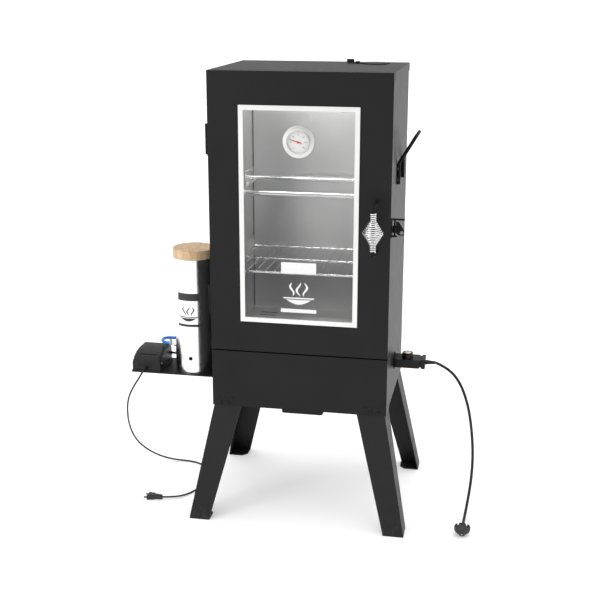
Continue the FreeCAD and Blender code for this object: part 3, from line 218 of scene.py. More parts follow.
def brushed(name, colour, roughness, cells, depth=0.00004, spread_by=0.07):
    """Metal with fine lines, drawn out along the axis with the fewest cells."""
    made = finish(name, colour, roughness, 1.0)
    lines = grain(made, cells, 3)
    uneven_gloss(made, lines, roughness - spread_by, roughness + spread_by)
    dark = tuple(c * 0.88 for c in colour)
    tint(made, grain(made, 6, 3, 9), dark, colour)
    relief(made, lines, depth, 0.35)
    return made


def clear_glass():
    """Thin clear pane: mostly see-through, with a polished face."""
    made = finish("window_pane", (0.05, 0.055, 0.055), 0.03, Alpha=0.14, IOR=1.5)
    smear = grain(made, (7, 7, 11), 4, 4)
    uneven_gloss(made, smear, 0.02, 0.07)
    return made


def moulded_plastic():
    """Black moulded plastic with fine spark-eroded grain."""
    made = finish("moulded_plastic", (0.009, 0.009, 0.009), 0.42, Specular_IOR_Level=0.25)
    uneven_gloss(made, grain(made, 60, 3), 0.36, 0.46)
    tint(made, grain(made, 25, 3, 7), (0.007, 0.007, 0.0074), (0.0105, 0.0105, 0.011))
    relief(made, grain(made, 2200, 1, 1), 0.00008, 0.6)
    return made


def plug_plastic():
    """The greyer, finely ribbed plastic of the two plugs."""
    made = finish("plug_plastic", (0.028, 0.028, 0.029), 0.45, Specular_IOR_Level=0.35)
    tint(made, grain(made, 60, 3, 2), (0.022, 0.022, 0.023), (0.036, 0.036, 0.037))
    uneven_gloss(made, grain(made, 90, 3), 0.4, 0.52)
    relief(made, grain(made, 1800, 1, 1), 0.00008, 0.6)
    return made


def cord_rubber():
    """Soft black cord sheath with faint rings from the extruder."""
    made = finish("cord_rubber", (0.012, 0.012, 0.012), 0.5, Specular_IOR_Level=0.3)
    uneven_gloss(made, grain(made, 50, 3), 0.42, 0.56)
    tint(made, grain(made, 30, 2, 3), (0.01, 0.01, 0.0105), (0.015, 0.015, 0.0155))
    relief(made, grain(made, 500, 2, 6), 0.00006, 0.5)
    return made


def blue_silicone():
    """Bright blue air hose, a little cloudy."""
    made = finish("blue_silicone", (0.02, 0.2, 0.72), 0.35, Subsurface_Weight=0.08, Subsurface_Scale=0.004)
    tint(made, grain(made, 70, 3), (0.015, 0.16, 0.62), (0.03, 0.25, 0.8))
    uneven_gloss(made, grain(made, 120, 2, 2), 0.28, 0.42)
    return made


def oiled_wood():
    """Light wood turned across the plank: speckled on top, with upright grain down the edge."""
    made = finish("oiled_wood", (0.62, 0.43, 0.25), 0.5)
    place = add(made, "ShaderNodeTexCoord")
    mapping = add(made, "ShaderNodeMapping", Scale=(150, 90, 7))
    wire(made, place.outputs["Object"], mapping.inputs["Vector"])
    bands = add(made, "ShaderNodeTexNoise", Scale=1.0, Detail=4.0, Distortion=0.4)
    wire(made, mapping.outputs["Vector"], bands.inputs["Vector"])
    speck = grain(made, (700, 700, 60), 2, 8)
    both = add(made, "ShaderNodeMath", operation="MULTIPLY_ADD")
    wire(made, speck, both.inputs[0])
    both.inputs[1].default_value = 0.45
    wire(made, bands.outputs["Fac"], both.inputs[2])
    ramp = tint(made, both.outputs[0], (0.42, 0.25, 0.12), (0.75, 0.56, 0.36), 0.52, 0.95)
    knot = ramp.color_ramp.elements.new(0.66)
    knot.color = (0.62, 0.42, 0.24, 1)
    uneven_gloss(made, bands.outputs["Fac"], 0.42, 0.6)
    relief(made, both.outputs[0], 0.0002, 0.4)
    return made


def woven(name, colour, cells):
    """A coarse fibre rope or felt."""
    made = finish(name, colour, 0.9)
    weave = grain(made, cells, 3)
    tint(made, weave, tuple(c * 0.6 for c in colour), colour)
    relief(made, weave, 0.0004, 0.9)
    return made


def printed(name, colour):
    """Screen print: an even film with a slightly grainy edge to its gloss."""
    made = finish(name, colour, 0.5)
    tint(made, grain(made, 220, 3), tuple(c * 0.93 for c in colour), colour)
    return made


def heat_steel():
    """Steel tube dulled and blued by heat."""
    made = finish("heat_steel", (0.16, 0.14, 0.12), 0.45, 1.0)
    tint(made, grain(made, 30, 4), (0.1, 0.1, 0.13), (0.24, 0.19, 0.14))
    uneven_gloss(made, grain(made, 90, 2, 4), 0.36, 0.55)
    return made


COAT = powder_coat()
LEG_COAT = leg_coat()
FITTING_COAT = fitting_coat()
CAN_STEEL = brushed("can_steel", (0.86, 0.86, 0.86), 0.2, (30, 30, 700))
LINER_STEEL = brushed("liner_steel", (0.7, 0.7, 0.695), 0.36, (500, 500, 12))
FRAME_METAL = brushed("frame_metal", (0.82, 0.82, 0.81), 0.42, 300)
BRIGHT_WIRE = brushed("bright_wire", (0.86, 0.86, 0.86), 0.2, 200, 0.00002, 0.05)
DIAL_RIM = brushed("dial_rim", (0.66, 0.66, 0.655), 0.38, 400, 0.00002)
DARK_ZINC = brushed("dark_zinc", (0.045, 0.045, 0.047), 0.42, 300)
PANE = clear_glass()
LENS = finish("dial_lens", (0.1, 0.1, 0.1), 0.03, Alpha=0.05, IOR=1.5)
PLASTIC = moulded_plastic()
RUBBER = cord_rubber()
PLUG_PLASTIC = plug_plastic()
HOSE_BLUE = blue_silicone()
WOOD = oiled_wood()
SEAL_ROPE = woven("seal_rope", (0.05, 0.05, 0.05), 900)
WOOL = woven("mineral_wool", (0.62, 0.55, 0.35), 300)
WHITE_PRINT = printed("white_print", (0.8, 0.8, 0.8))
DARK_PRINT = printed("dark_print", (0.02, 0.02, 0.02))
ORANGE_PRINT = printed("orange_print", (0.85, 0.3, 0.03))
YELLOW_PRINT = printed("yellow_print", (0.85, 0.62, 0.08))
DIAL_WHITE = printed("dial_white", (0.82, 0.82, 0.81))
NEEDLE_RED = printed("needle_red", (0.7, 0.03, 0.02))
HEATER_STEEL = heat_steel()
GREY_CLIP = printed("grey_clip", (0.35, 0.36, 0.38))

CAD_FINISHES = {
    "left_side_panel": COAT, "right_side_panel": COAT, "back_panel": COAT, "front_frame": COAT,
    "chamber_walls": LINER_STEEL, "chamber_ceiling": LINER_STEEL, "wall_insulation": WOOL,
    "chamber_floor": LINER_STEEL, "base_floor": COAT, "leg_bolts": COAT, "tray_rails": COAT,
    "door_inner_panel": LINER_STEEL, "door_insulation": WOOL, "window_glass": PANE, "door_seal": SEAL_ROPE,
    "hasp_stud": FITTING_COAT, "thermometer_needle": NEEDLE_RED, "thermometer_lens": LENS,
    "thermometer_nut": BRIGHT_WIRE, "rack_ledges": LINER_STEEL, "damper_screw": DARK_ZINC,
    "heating_element": HEATER_STEEL, "heater_socket": COAT, "control_cord_relief": RUBBER,
    "smoke_outlet_pipe": CAN_STEEL, "air_jet": BRIGHT_WIRE, "pump_works": PLASTIC,
    "pump_cord_relief": RUBBER,
}
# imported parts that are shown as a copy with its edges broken: finish, slot, width of the edge in millimetres
EDGED = {
    "door_skin": (COAT, "black_steel", 0.5),
    "roof_cap": (COAT, "black_steel", 0.5),
    "lower_front_panel": (COAT, "black_steel", 0.5),
    "front_left_leg": (LEG_COAT, "black_steel", 0.6),
    "front_right_leg": (LEG_COAT, "black_steel", 0.6),
    "back_left_leg": (LEG_COAT, "black_steel", 0.6),
    "back_right_leg": (LEG_COAT, "black_steel", 0.6),
    "drip_tray": (COAT, "black_steel", 0.3),
    "window_trim": (FRAME_METAL, "window_metal", 0.5),
    "generator_shelf": (COAT, "black_steel", 0.5),
    "generator_can": (CAN_STEEL, "polished_steel", 0.3),
    "generator_lid": (WOOD, "lid_wood", 0.8),
    "pump_housing": (PLASTIC, "black_plastic", 1.0),
    "pump_base": (PLASTIC, "black_plastic", 0.6),
    "control_housing": (PLASTIC, "black_plastic", 1.2),
    "hasp_bracket": (FITTING_COAT, "black_steel", 0.3),
    "hasp_plate": (FITTING_COAT, "black_steel", 0.3),
    "door_handle_rod": (FITTING_COAT, "black_steel", 0.2),
    "carry_handle": (FITTING_COAT, "black_steel", 0.2),
    "cabinet_hinge_leaves": (FITTING_COAT, "black_steel", 0.3),
    "door_hinge_leaves": (FITTING_COAT, "black_steel", 0.3),
    "vent_damper": (COAT, "black_steel", 0.3),
    "hanging_rods": (BRIGHT_WIRE, "bright_wire", 0.5),
}
BODY_OF = {name: body for body, names in frame["record"]["behaviour"]["bodies"].items() for name in names}


FRONTWARDS = (0, -1, 0)
LEFTWARDS = (-1, 0, 0)
RIGHTWARDS = (1, 0, 0)
UPWARDS = (0, 0, 1)


# ---------------------------------------------------------------- mesh helpers
def piece_from(name, mesh, material):
    """An object at the origin that holds a finished mesh."""
    mesh.materials.clear()
    mesh.materials.append(material)
    piece = bpy.data.objects.new(name, mesh)
    bpy.context.scene.collection.objects.link(piece)
    return piece


def smooth(mesh, degrees=35):
    """Soft shading, with the creases sharper than an angle kept."""
    mesh.shade_smooth()
    mesh.set_sharp_from_angle(angle=math.radians(degrees))


def from_bmesh(name, form, material, degrees=35):
    bmesh.ops.recalc_face_normals(form, faces=form.faces)
    mesh = bpy.data.meshes.new(name)
    form.to_mesh(mesh)
    form.free()
    smooth(mesh, degrees)
    return piece_from(name, mesh, material)


def settle(piece, slot, body, *stands_for):
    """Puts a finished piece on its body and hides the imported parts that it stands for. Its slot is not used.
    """
    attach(piece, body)
    if stands_for:
        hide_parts(*stands_for)
    return piece


MERGE_WITHIN = 1e-6
FLAT_WITHIN = math.radians(0.4)
SHARP_PAST = math.radians(50)


def broken_edges(node, material, slot, width):
    """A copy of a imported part, merged, with its sharp edges broken by a narrow bevel."""
    form = bmesh.new()
    form.from_mesh(nodes[node].data)
    bmesh.ops.remove_doubles(form, verts=form.verts, dist=MERGE_WITHIN)
    bmesh.ops.dissolve_limit(form, angle_limit=FLAT_WITHIN, verts=form.verts, edges=form.edges)
    mesh = bpy.data.meshes.new(node + "_shown")
    form.to_mesh(mesh)
    form.free()
    mesh.shade_smooth()
    piece = piece_from(node + "_shown", mesh, material)
    bevel = piece.modifiers.new("broken_edges", "BEVEL")
    bevel.width = width * MM
    bevel.segments = 2
    bevel.limit_method = "ANGLE"
    bevel.angle_limit = SHARP_PAST
    bevel.use_clamp_overlap = True
    even = piece.modifiers.new("even_faces", "WEIGHTED_NORMAL")
    even.keep_sharp = True
    flat = evaluated(piece)
    bpy.data.objects.remove(piece)
    return settle(piece_from(node + "_shown", flat, material), slot, BODY_OF[node], node)


def evaluated(piece):
    """A plain mesh of a piece with its modifiers worked out."""
    bpy.context.view_layer.update()
    graph = bpy.context.evaluated_depsgraph_get()
    return bpy.data.meshes.new_from_object(piece.evaluated_get(graph), depsgraph=graph)


def turn_to(direction):
    """A rotation that takes +Z to a direction."""
    return Vector(direction).to_track_quat("Z", "Y").to_matrix().to_4x4()


def lathe(name, profile, place, direction, material, steps=64, degrees=35, turn=0.0):
    """A turned form: (radius, height) pairs in millimetres about an axis that starts at a place."""
    form = bmesh.new()
    rings = []
    for radius, height in profile:
        if radius < 1e-6:
            rings.append([form.verts.new((0, 0, height * MM))])
            continue
        rings.append([form.verts.new((radius * MM * math.cos(turn + step * math.tau / steps),
                                      radius * MM * math.sin(turn + step * math.tau / steps),
                                      height * MM)) for step in range(steps)])
    for lower, upper in zip(rings, rings[1:]):
        for step in range(steps):
            after = (step + 1) % steps
            corners = [lower[step % len(lower)], lower[after % len(lower)],
                       upper[after % len(upper)], upper[step % len(upper)]]
            form.faces.new(list(dict.fromkeys(corners)))
    form.transform(Matrix.Translation(place) @ turn_to(direction))
    return from_bmesh(name, form, material, degrees)


def slab(name, outline, thick, place, direction, material, width=0.0, up=None):
    """A flat plate from an outline in millimetres, from its place along a direction, with bevelled rims."""
    form = bmesh.new()
    base = form.faces.new([form.verts.new((x * MM, y * MM, 0)) for x, y in outline])
    raised = bmesh.ops.extrude_face_region(form, geom=[base])
    tops = [item for item in raised["geom"] if isinstance(item, bmesh.types.BMVert)]
    bmesh.ops.translate(form, verts=tops, vec=(0, 0, thick * MM))
    if width:
        bmesh.ops.bevel(form, geom=list(form.edges), offset=width * MM, segments=2, affect="EDGES")
    bmesh.ops.triangulate(form, faces=[face for face in form.faces if len(face.verts) > 4])
    normal = Vector(direction).normalized()
    across = (Vector(up) if up else Vector((0, 0, 1))).cross(normal).normalized()
    turn = Matrix((across, normal.cross(across), normal)).transposed().to_4x4()
    form.transform(Matrix.Translation(place) @ turn)
    return from_bmesh(name, form, material)


def join(pieces, name):
    """Several pieces made one object, which keeps their finishes."""
    form = bmesh.new()
    materials = []
    for piece in pieces:
        first = len(form.faces)
        form.from_mesh(piece.data)
        form.faces.ensure_lookup_table()
        material = piece.data.materials[0]
        if material not in materials:
            materials.append(material)
        for face in form.faces[first:]:
            face.material_index = materials.index(material)
    mesh = bpy.data.meshes.new(name)
    form.to_mesh(mesh)
    form.free()
    for piece in pieces:
        bpy.data.objects.remove(piece)
    whole = bpy.data.objects.new(name, mesh)
    for material in materials:
        mesh.materials.append(material)
    bpy.context.scene.collection.objects.link(whole)
    return whole


def rounded(wide, tall, radius, steps=5):
    """The outline of a rectangle with round corners, centred."""
    points = []
    for side, corner in enumerate(((1, 1), (-1, 1), (-1, -1), (1, -1))):
        for step in range(steps + 1):
            angle = (side + step / steps) * math.pi / 2
            points.append((corner[0] * (wide / 2 - radius) + radius * math.cos(angle),
                           corner[1] * (tall / 2 - radius) + radius * math.sin(angle)))
    return points


# ---------------------------------------------------------------- geometry node helpers
class Tree:
    """A geometry node tree with named size inputs that ends in Realize Instances and Set Material."""

    def __init__(self, name, sizes):
        self.group = bpy.data.node_groups.new(name, "GeometryNodeTree")
        self.group.interface.new_socket("Geometry", in_out="OUTPUT", socket_type="NodeSocketGeometry")
        self.ids = {}
        for label, value in sizes.items():
            kind = "NodeSocketInt" if isinstance(value, int) else "NodeSocketFloat"
            socket = self.group.interface.new_socket(label, in_out="INPUT", socket_type=kind)
            socket.default_value = value
            self.ids[label] = socket.identifier
        self.input = self.group.nodes.new("NodeGroupInput")
        self.output = self.group.nodes.new("NodeGroupOutput")

    def size(self, label):
        return self.input.outputs[label]

    def node(self, kind, links=None, **settings):
        made = self.group.nodes.new(kind)
        for name, value in settings.items():
            setattr(made, name, value)
        for name, source in (links or {}).items():
            if hasattr(source, "is_output"):
                self.group.links.new(source, made.inputs[name])
            else:
                made.inputs[name].default_value = source
        return made

    def math(self, operation, *values):
        return self.node("ShaderNodeMath", dict(enumerate(values)), operation=operation).outputs[0]

    def finish(self, geometry, material):
        realized = self.node("GeometryNodeRealizeInstances", {"Geometry": geometry})
        painted = self.node("GeometryNodeSetMaterial", {"Geometry": realized.outputs[0]})
        painted.inputs["Material"].default_value = material
        self.group.links.new(painted.outputs[0], self.output.inputs[0])

    def build(self, name, material, placed, degrees=35, **sizes):
        """The tree's result as a plain mesh, set in its place."""
        host = bpy.data.objects.new(name + "_host", bpy.data.meshes.new(name + "_host"))
        bpy.context.scene.collection.objects.link(host)
        modifier = host.modifiers.new("maker", "NODES")
        modifier.node_group = self.group
        for label, value in sizes.items():
            modifier[self.ids[label]] = value
        mesh = evaluated(host)
        host.modifiers.remove(modifier)
        bpy.data.objects.remove(host)
        mesh.transform(placed)
        smooth(mesh, degrees)
        return piece_from(name, mesh, material)


def grip_tree():
    """A wire wound on a form that is straight at both ends and swells to its middle."""
    tree = Tree("wound_grip", {"End radius": 0.006, "Middle radius": 0.023, "Height": 0.091, "Collar": 0.016,
                               "Turns": 21, "Steps per turn": 28, "Wire radius": 0.0014})
    count = tree.math("MULTIPLY", tree.size("Turns"), tree.size("Steps per turn"))
    line = tree.node("GeometryNodeMeshLine", {"Count": count})
    index = tree.node("GeometryNodeInputIndex").outputs[0]
    share = tree.math("DIVIDE", index, tree.math("SUBTRACT", count, 1.0))
    angle = tree.math("MULTIPLY", share, tree.math("MULTIPLY", tree.size("Turns"), math.tau))
    height = tree.math("MULTIPLY", share, tree.size("Height"))
    half = tree.math("DIVIDE", tree.size("Height"), 2.0)
    off = tree.math("ABSOLUTE", tree.math("SUBTRACT", height, half))
    cone = tree.math("SUBTRACT", half, tree.size("Collar"))
    swell = tree.math("SUBTRACT", 1.0, tree.math("MINIMUM", tree.math("DIVIDE", off, cone), 1.0))
    gain = tree.math("SUBTRACT", tree.size("Middle radius"), tree.size("End radius"))
    radius = tree.math("ADD", tree.size("End radius"), tree.math("MULTIPLY", swell, gain))
    place = tree.node("ShaderNodeCombineXYZ", {
        "X": tree.math("MULTIPLY", radius, tree.math("COSINE", angle)),
        "Y": tree.math("MULTIPLY", radius, tree.math("SINE", angle)), "Z": height})
    moved = tree.node("GeometryNodeSetPosition", {"Geometry": line.outputs[0], "Position": place.outputs[0]})
    curve = tree.node("GeometryNodeMeshToCurve", {"Mesh": moved.outputs[0]})
    circle = tree.node("GeometryNodeCurvePrimitiveCircle", {
        "Resolution": 8, "Radius": tree.size("Wire radius")})
    tube = tree.node("GeometryNodeCurveToMesh", {
        "Curve": curve.outputs[0], "Profile Curve": circle.outputs[0], "Fill Caps": True})
    tree.finish(tube.outputs[0], BRIGHT_WIRE)
    return tree


def marks_tree(material):
    """Small raised marks on an arc about the z axis, pointing outwards."""
    tree = Tree("arc_of_marks", {"Count": 11, "Radius": 0.02, "From angle": 0.0, "Sweep": 1.0,
                                 "Mark length": 0.002, "Mark width": 0.0004, "Mark height": 0.0002})
    line = tree.node("GeometryNodeMeshLine", {"Count": tree.size("Count")})
    index = tree.node("GeometryNodeInputIndex").outputs[0]
    gaps = tree.math("SUBTRACT", tree.size("Count"), 1.0)
    share = tree.math("DIVIDE", index, gaps)
    angle = tree.math("ADD", tree.size("From angle"), tree.math("MULTIPLY", share, tree.size("Sweep")))
    place = tree.node("ShaderNodeCombineXYZ", {
        "X": tree.math("MULTIPLY", tree.size("Radius"), tree.math("COSINE", angle)),
        "Y": tree.math("MULTIPLY", tree.size("Radius"), tree.math("SINE", angle)), "Z": 0.0})
    moved = tree.node("GeometryNodeSetPosition", {"Geometry": line.outputs[0], "Position": place.outputs[0]})
    size = tree.node("ShaderNodeCombineXYZ", {
        "X": tree.size("Mark length"), "Y": tree.size("Mark width"), "Z": tree.size("Mark height")})
    block = tree.node("GeometryNodeMeshCube", {"Size": size.outputs[0]})
    turn = tree.node("ShaderNodeCombineXYZ", {"X": 0.0, "Y": 0.0, "Z": angle})
    spin = tree.node("FunctionNodeEulerToRotation", {"Euler": turn.outputs[0]})
    copies = tree.node("GeometryNodeInstanceOnPoints", {
        "Points": moved.outputs[0], "Instance": block.outputs[0], "Rotation": spin.outputs[0]})
    tree.finish(copies.outputs[0], material)
    return tree


def wires_tree():
    """A row of equal round wires side by side along x, each lying along y."""
    tree = Tree("row_of_wires", {"Count": 15, "Pitch": 0.022, "Length": 0.28, "Wire radius": 0.0016})
    gaps = tree.math("SUBTRACT", tree.size("Count"), 1.0)
    index = tree.node("GeometryNodeInputIndex").outputs[0]
    along = tree.math("SUBTRACT", index, tree.math("DIVIDE", gaps, 2.0))
    line = tree.node("GeometryNodeMeshLine", {"Count": tree.size("Count")})
    place = tree.node("ShaderNodeCombineXYZ", {
        "X": tree.math("MULTIPLY", along, tree.size("Pitch")), "Y": 0.0, "Z": 0.0})
    moved = tree.node("GeometryNodeSetPosition", {"Geometry": line.outputs[0], "Position": place.outputs[0]})
    stick = tree.node("GeometryNodeMeshCylinder", {
        "Vertices": 14, "Radius": tree.size("Wire radius"), "Depth": tree.size("Length")})
    laid = tree.node("GeometryNodeTransform", {
        "Geometry": stick.outputs[0], "Rotation": (math.pi / 2, 0.0, 0.0)})
    copies = tree.node("GeometryNodeInstanceOnPoints", {
        "Points": moved.outputs[0], "Instance": laid.outputs[0]})
    tree.finish(copies.outputs[0], BRIGHT_WIRE)
    return tree


def heads_tree(head):
    """Copies of a screw head in a grid in the xz plane, facing -y."""
    tree = Tree("grid_of_heads", {"Columns": 2, "Rows": 2, "Width": 0.1, "Height": 0.1})
    grid = tree.node("GeometryNodeMeshGrid", {
        "Size X": tree.size("Width"), "Size Y": tree.size("Height"),
        "Vertices X": tree.size("Columns"), "Vertices Y": tree.size("Rows")})
    upright = tree.node("GeometryNodeTransform", {
        "Geometry": grid.outputs[0], "Rotation": (math.pi / 2, 0.0, 0.0)})
    source = tree.node("GeometryNodeObjectInfo", {"Object": head}, transform_space="ORIGINAL")
    copies = tree.node("GeometryNodeInstanceOnPoints", {
        "Points": upright.outputs[0], "Instance": source.outputs["Geometry"]})
    tree.finish(copies.outputs[0], head.data.materials[0])
    return tree


# ---------------------------------------------------------------- door pieces
def wound_grip():
    """The door handle's grip: bright wire wound on the rod."""
    low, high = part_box("handle_coil")
    wire_radius = 0.0014
    rod_and_wire = 0.0059
    centre = (low + high) / 2
    place = Matrix.Translation((centre.x, centre.y, low.z + wire_radius))
    grip = grip_tree().build("wound_grip", BRIGHT_WIRE, place, 60, **{
        "Height": high.z - low.z - 2 * wire_radius, "Middle radius": (high.x - low.x) / 2 - wire_radius,
        "End radius": rod_and_wire, "Wire radius": wire_radius})
    settle(grip, "bright_wire", "door", "handle_coil")


# from the dial's centre: (radius, height) of the turned case, forwards of the pane
CASE_PROFILE = [
    (0, -60), (2.4, -60), (3, -59), (3, -12), (5.5, -12), (5.5, 0), (36.8, 0), (37.3, 0.6), (37.3, 1.8),
    (36.6, 2.8), (35.4, 3.2), (31.5, 3.4), (29.2, 3.9), (27.6, 5.2), (27.2, 8.6), (26.9, 10), (26.2, 10.8),
    (25.4, 10.9), (24.7, 10.3), (24.5, 9.2), (24.5, 6.1), (0, 6.1),
]
# the printed dial, forwards of the pane and about its centre, in millimetres
DIAL_BACK, DIAL_FRONT, DIAL_INK = 6.12, 6.3, 6.32
DIAL_RADIUS = 24.4
SCALE_FROM = math.radians(225)
SCALE_SWEEP = math.radians(-270)
SCALE_NUMBERS = 7
NUMBER_STEP = 50
NUMBER_TALL = 3.8
NUMBER_RADIUS = 16.8
NUMBER_INK = 0.05
NEEDLE_CAP = [(0, 0), (2.2, 0), (2.2, 0.2), (1.6, 0.5), (0, 0.55)]


def dial_number(value, place):
    """A number of the scale, drawn about its own middle and set in its place."""
    data = bpy.data.curves.new("number", "FONT")
    data.body = str(value)
    data.size = NUMBER_TALL * MM
    data.align_x = "CENTER"
    data.align_y = "CENTER"
    data.extrude = NUMBER_INK * MM
    holder = bpy.data.objects.new("number", data)
    bpy.context.scene.collection.objects.link(holder)
    mesh = evaluated(holder)
    bpy.data.objects.remove(holder)
    mesh.transform(place)
    return piece_from("number", mesh, DARK_PRINT)


def dial_face(centre):
    """The printed dial: a white disc with a scale of marks and numbers."""
    plate = lathe("dial_plate", [(0, DIAL_BACK), (DIAL_RADIUS, DIAL_BACK), (DIAL_RADIUS, DIAL_FRONT),
                                 (0, DIAL_FRONT)], centre, FRONTWARDS, DIAL_WHITE, 72)
    settle(plate, "needle_red", "door")
    face = centre + Vector(FRONTWARDS) * DIAL_INK * MM
    upright = Matrix.Translation(face) @ Matrix.Rotation(math.pi / 2, 4, "X")
    marks = marks_tree(DARK_PRINT)
    fine = marks.build("dial_marks_fine", DARK_PRINT, upright, 35, **{
        "Count": 61, "Radius": 0.0217, "From angle": SCALE_FROM, "Sweep": SCALE_SWEEP,
        "Mark length": 0.0014, "Mark width": 0.00016, "Mark height": 0.00012})
    bold = marks.build("dial_marks_bold", DARK_PRINT, upright, 35, **{
        "Count": 13, "Radius": 0.0212, "From angle": SCALE_FROM, "Sweep": SCALE_SWEEP,
        "Mark length": 0.0026, "Mark width": 0.00036, "Mark height": 0.00014})
    numbers = []
    for step in range(SCALE_NUMBERS):
        angle = SCALE_FROM + SCALE_SWEEP * step / (SCALE_NUMBERS - 1)
        off = Vector((math.cos(angle), math.sin(angle), 0)) * NUMBER_RADIUS * MM
        numbers.append(dial_number(step * NUMBER_STEP, upright @ Matrix.Translation(off)))
    settle(join([fine, bold] + numbers, "dial_scale"), "black_plastic", "door")


def thermometer():
    """The turned case, its dial, and the hub cap on the needle."""
    low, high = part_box("thermometer_case")
    pane_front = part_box("window_glass")[0].y
    centre = Vector(((low.x + high.x) / 2, pane_front, (low.z + high.z) / 2))
    case = lathe("thermometer_rim", CASE_PROFILE, centre, FRONTWARDS, DIAL_RIM, 96, 28)
    settle(case, "bright_wire", "door", "thermometer_case")
    dial_face(centre)
    tip = Vector((centre.x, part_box("thermometer_needle")[0].y, centre.z))
    settle(lathe("needle_cap", NEEDLE_CAP, tip, FRONTWARDS, NEEDLE_RED, 32), "needle_red", "needle")


# ---------------------------------------------------------------- prints
# the badge, in millimetres about the middle of its foot; a band is (width, lower height, upper height)
BADGE_PLATE = (84, 86.5, 113.5)
BADGE_PAN_RIM = (74, 25, 28.2)
BADGE_BAR = (86, -9, 0)
PAN_WIDE = 60
PAN_TOP = 22.7
PAN_UNDERSIDE = 22.5
PAN_DEEP = 11.5
CURLS = ((-16, 0.4), (0, 2.2), (16, 4.0))
CURL_FOOT = 32
CURL_TALL = 33
CURL_DRIFT = 4.5
CURL_TURNS = 0.95
CURL_HALF = 2.8
CURL_TIP = 0.04
WINDOW_BADGE_FOOT = 549
CAN_BADGE_FOOT = 455
CAN_BADGE_SCALE = 0.72
CAN_BADGE_TURN = math.radians(-4)


def print_patch(one_side, other_side, wrap, material, across=4, film=0.1):
    """A thin film of print between two lines of (x, y) points, laid on a face by wrap(x, y, height)."""
    form = bmesh.new()
    rows = []
    for (x0, y0), (x1, y1) in zip(one_side, other_side):
        rows.append([form.verts.new((x0 + (x1 - x0) * part / across, y0 + (y1 - y0) * part / across, 0))
                     for part in range(across + 1)])
    for lower, upper in zip(rows, rows[1:]):
        for part in range(across):
            form.faces.new((lower[part], lower[part + 1], upper[part + 1], upper[part]))
    raised = bmesh.ops.extrude_face_region(form, geom=list(form.faces))
    for item in raised["geom"]:
        if isinstance(item, bmesh.types.BMVert):
            item.co.z = film
    for vert in form.verts:
        vert.co = wrap(vert.co.x, vert.co.y, vert.co.z)
    return from_bmesh("print", form, material, 50)


def badge(name, wrap, material):
    """A plain badge: three curls of smoke over a pan, between a wide plate and a bar."""
    steps = 20
    shares = [step / steps for step in range(steps + 1)]

    def band(wide, low, high):
        sides = [[(share * wide - wide / 2, height) for share in shares] for height in (low, high)]
        return print_patch(*sides, wrap, material)

    def curl(middle_x, phase):
        left, right = [], []
        for share in shares:
            drift = middle_x + CURL_DRIFT * math.sin(share * math.tau * CURL_TURNS + phase)
            half = CURL_HALF * math.sin(math.pi * min(max(share, CURL_TIP), 1 - CURL_TIP)) ** 0.6
            height = CURL_FOOT + share * CURL_TALL
            left.append((drift - half, height))
            right.append((drift + half, height))
        return print_patch(left, right, wrap, material)

    across = [share * PAN_WIDE - PAN_WIDE / 2 for share in shares]
    bowl = [PAN_UNDERSIDE - PAN_DEEP * math.sin(math.pi * share) for share in shares]
    pan = print_patch(list(zip(across, bowl)), [(x, PAN_TOP) for x in across], wrap, material)
    return join([band(*BADGE_PLATE)] + [curl(*place) for place in CURLS]
                + [band(*BADGE_PAN_RIM), pan, band(*BADGE_BAR)], name)


def window_print():
    """White screen print low on the window."""
    pane_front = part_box("window_glass")[0].y
    foot = spot(0, 0, WINDOW_BADGE_FOOT)
    gap = 0.02

    def wrap(x, y, height):
        return Vector((foot.x + x * MM, pane_front - (gap + height) * MM, foot.z + y * MM))
    settle(badge("window_badge", wrap, WHITE_PRINT), "needle_red", "door")


def can_print():
    """Dark print round the front of the generator's can: the same badge, bent to the can."""
    low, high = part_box("generator_can")
    centre = (low + high) / 2
    gap = 0.06
    radius = (high.x - low.x) / 2 + gap * MM
    size = CAN_BADGE_SCALE * MM

    def wrap(x, y, height):
        angle = x * size / radius + CAN_BADGE_TURN
        out = radius + height * MM
        return Vector((centre.x + out * math.sin(angle), centre.y - out * math.cos(angle),
                       CAN_BADGE_FOOT * MM + y * size))
    settle(badge("can_badge", wrap, DARK_PRINT), "black_plastic", "cabinet")


# ---------------------------------------------------------------- cabinet pieces
def wire_rack():
    """The grate: long wires on three cross bars."""
    low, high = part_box("wire_grate")
    centre = (low + high) / 2
    wire_radius = 0.0016
    bar_radius, bar_end, chamfer = 2.6, 2.3, 0.4
    wires = wires_tree().build("rack_wires", BRIGHT_WIRE, Matrix.Translation(
        (centre.x, centre.y, high.z - wire_radius)), 60, **{"Length": high.y - low.y})
    long = (high.x - low.x) / MM
    profile = [(0, 0), (bar_end, 0), (bar_radius, chamfer), (bar_radius, long - chamfer), (bar_end, long),
               (0, long)]
    bars = [lathe("bar", profile, Vector((low.x, y, low.z + bar_radius * MM)), RIGHTWARDS, BRIGHT_WIRE, 20)
            for y in (low.y + bar_radius * MM, centre.y, high.y - bar_radius * MM)]
    settle(join([wires] + bars, "wire_rack"), "bright_wire", "cabinet", "wire_grate")


def chamber_seams():
    """Dark strips down the chamber's two back corners: painted shade where the side walls meet the back wall.
    """
    low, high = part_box("chamber_walls")
    sheet = 0.8
    wide, thick, end_gap = 1.4, 0.5, 3
    inwards, forwards = sheet + wide, 2.2 * sheet
    outline = rounded(wide, (high.z - low.z) / MM - 2 * end_gap, 0.5)
    # each strip is a dark sheet that paints the shade in a corner, not a real joint
    corner_shade_strips = [slab("seam", outline, thick,
                  Vector((x, high.y - forwards * MM, (low.z + high.z) / 2)), FRONTWARDS, DARK_ZINC)
             for x in (low.x + inwards * MM, high.x - inwards * MM)]
    settle(join(corner_shade_strips, "chamber_seams"), "fastener_zinc", "cabinet")


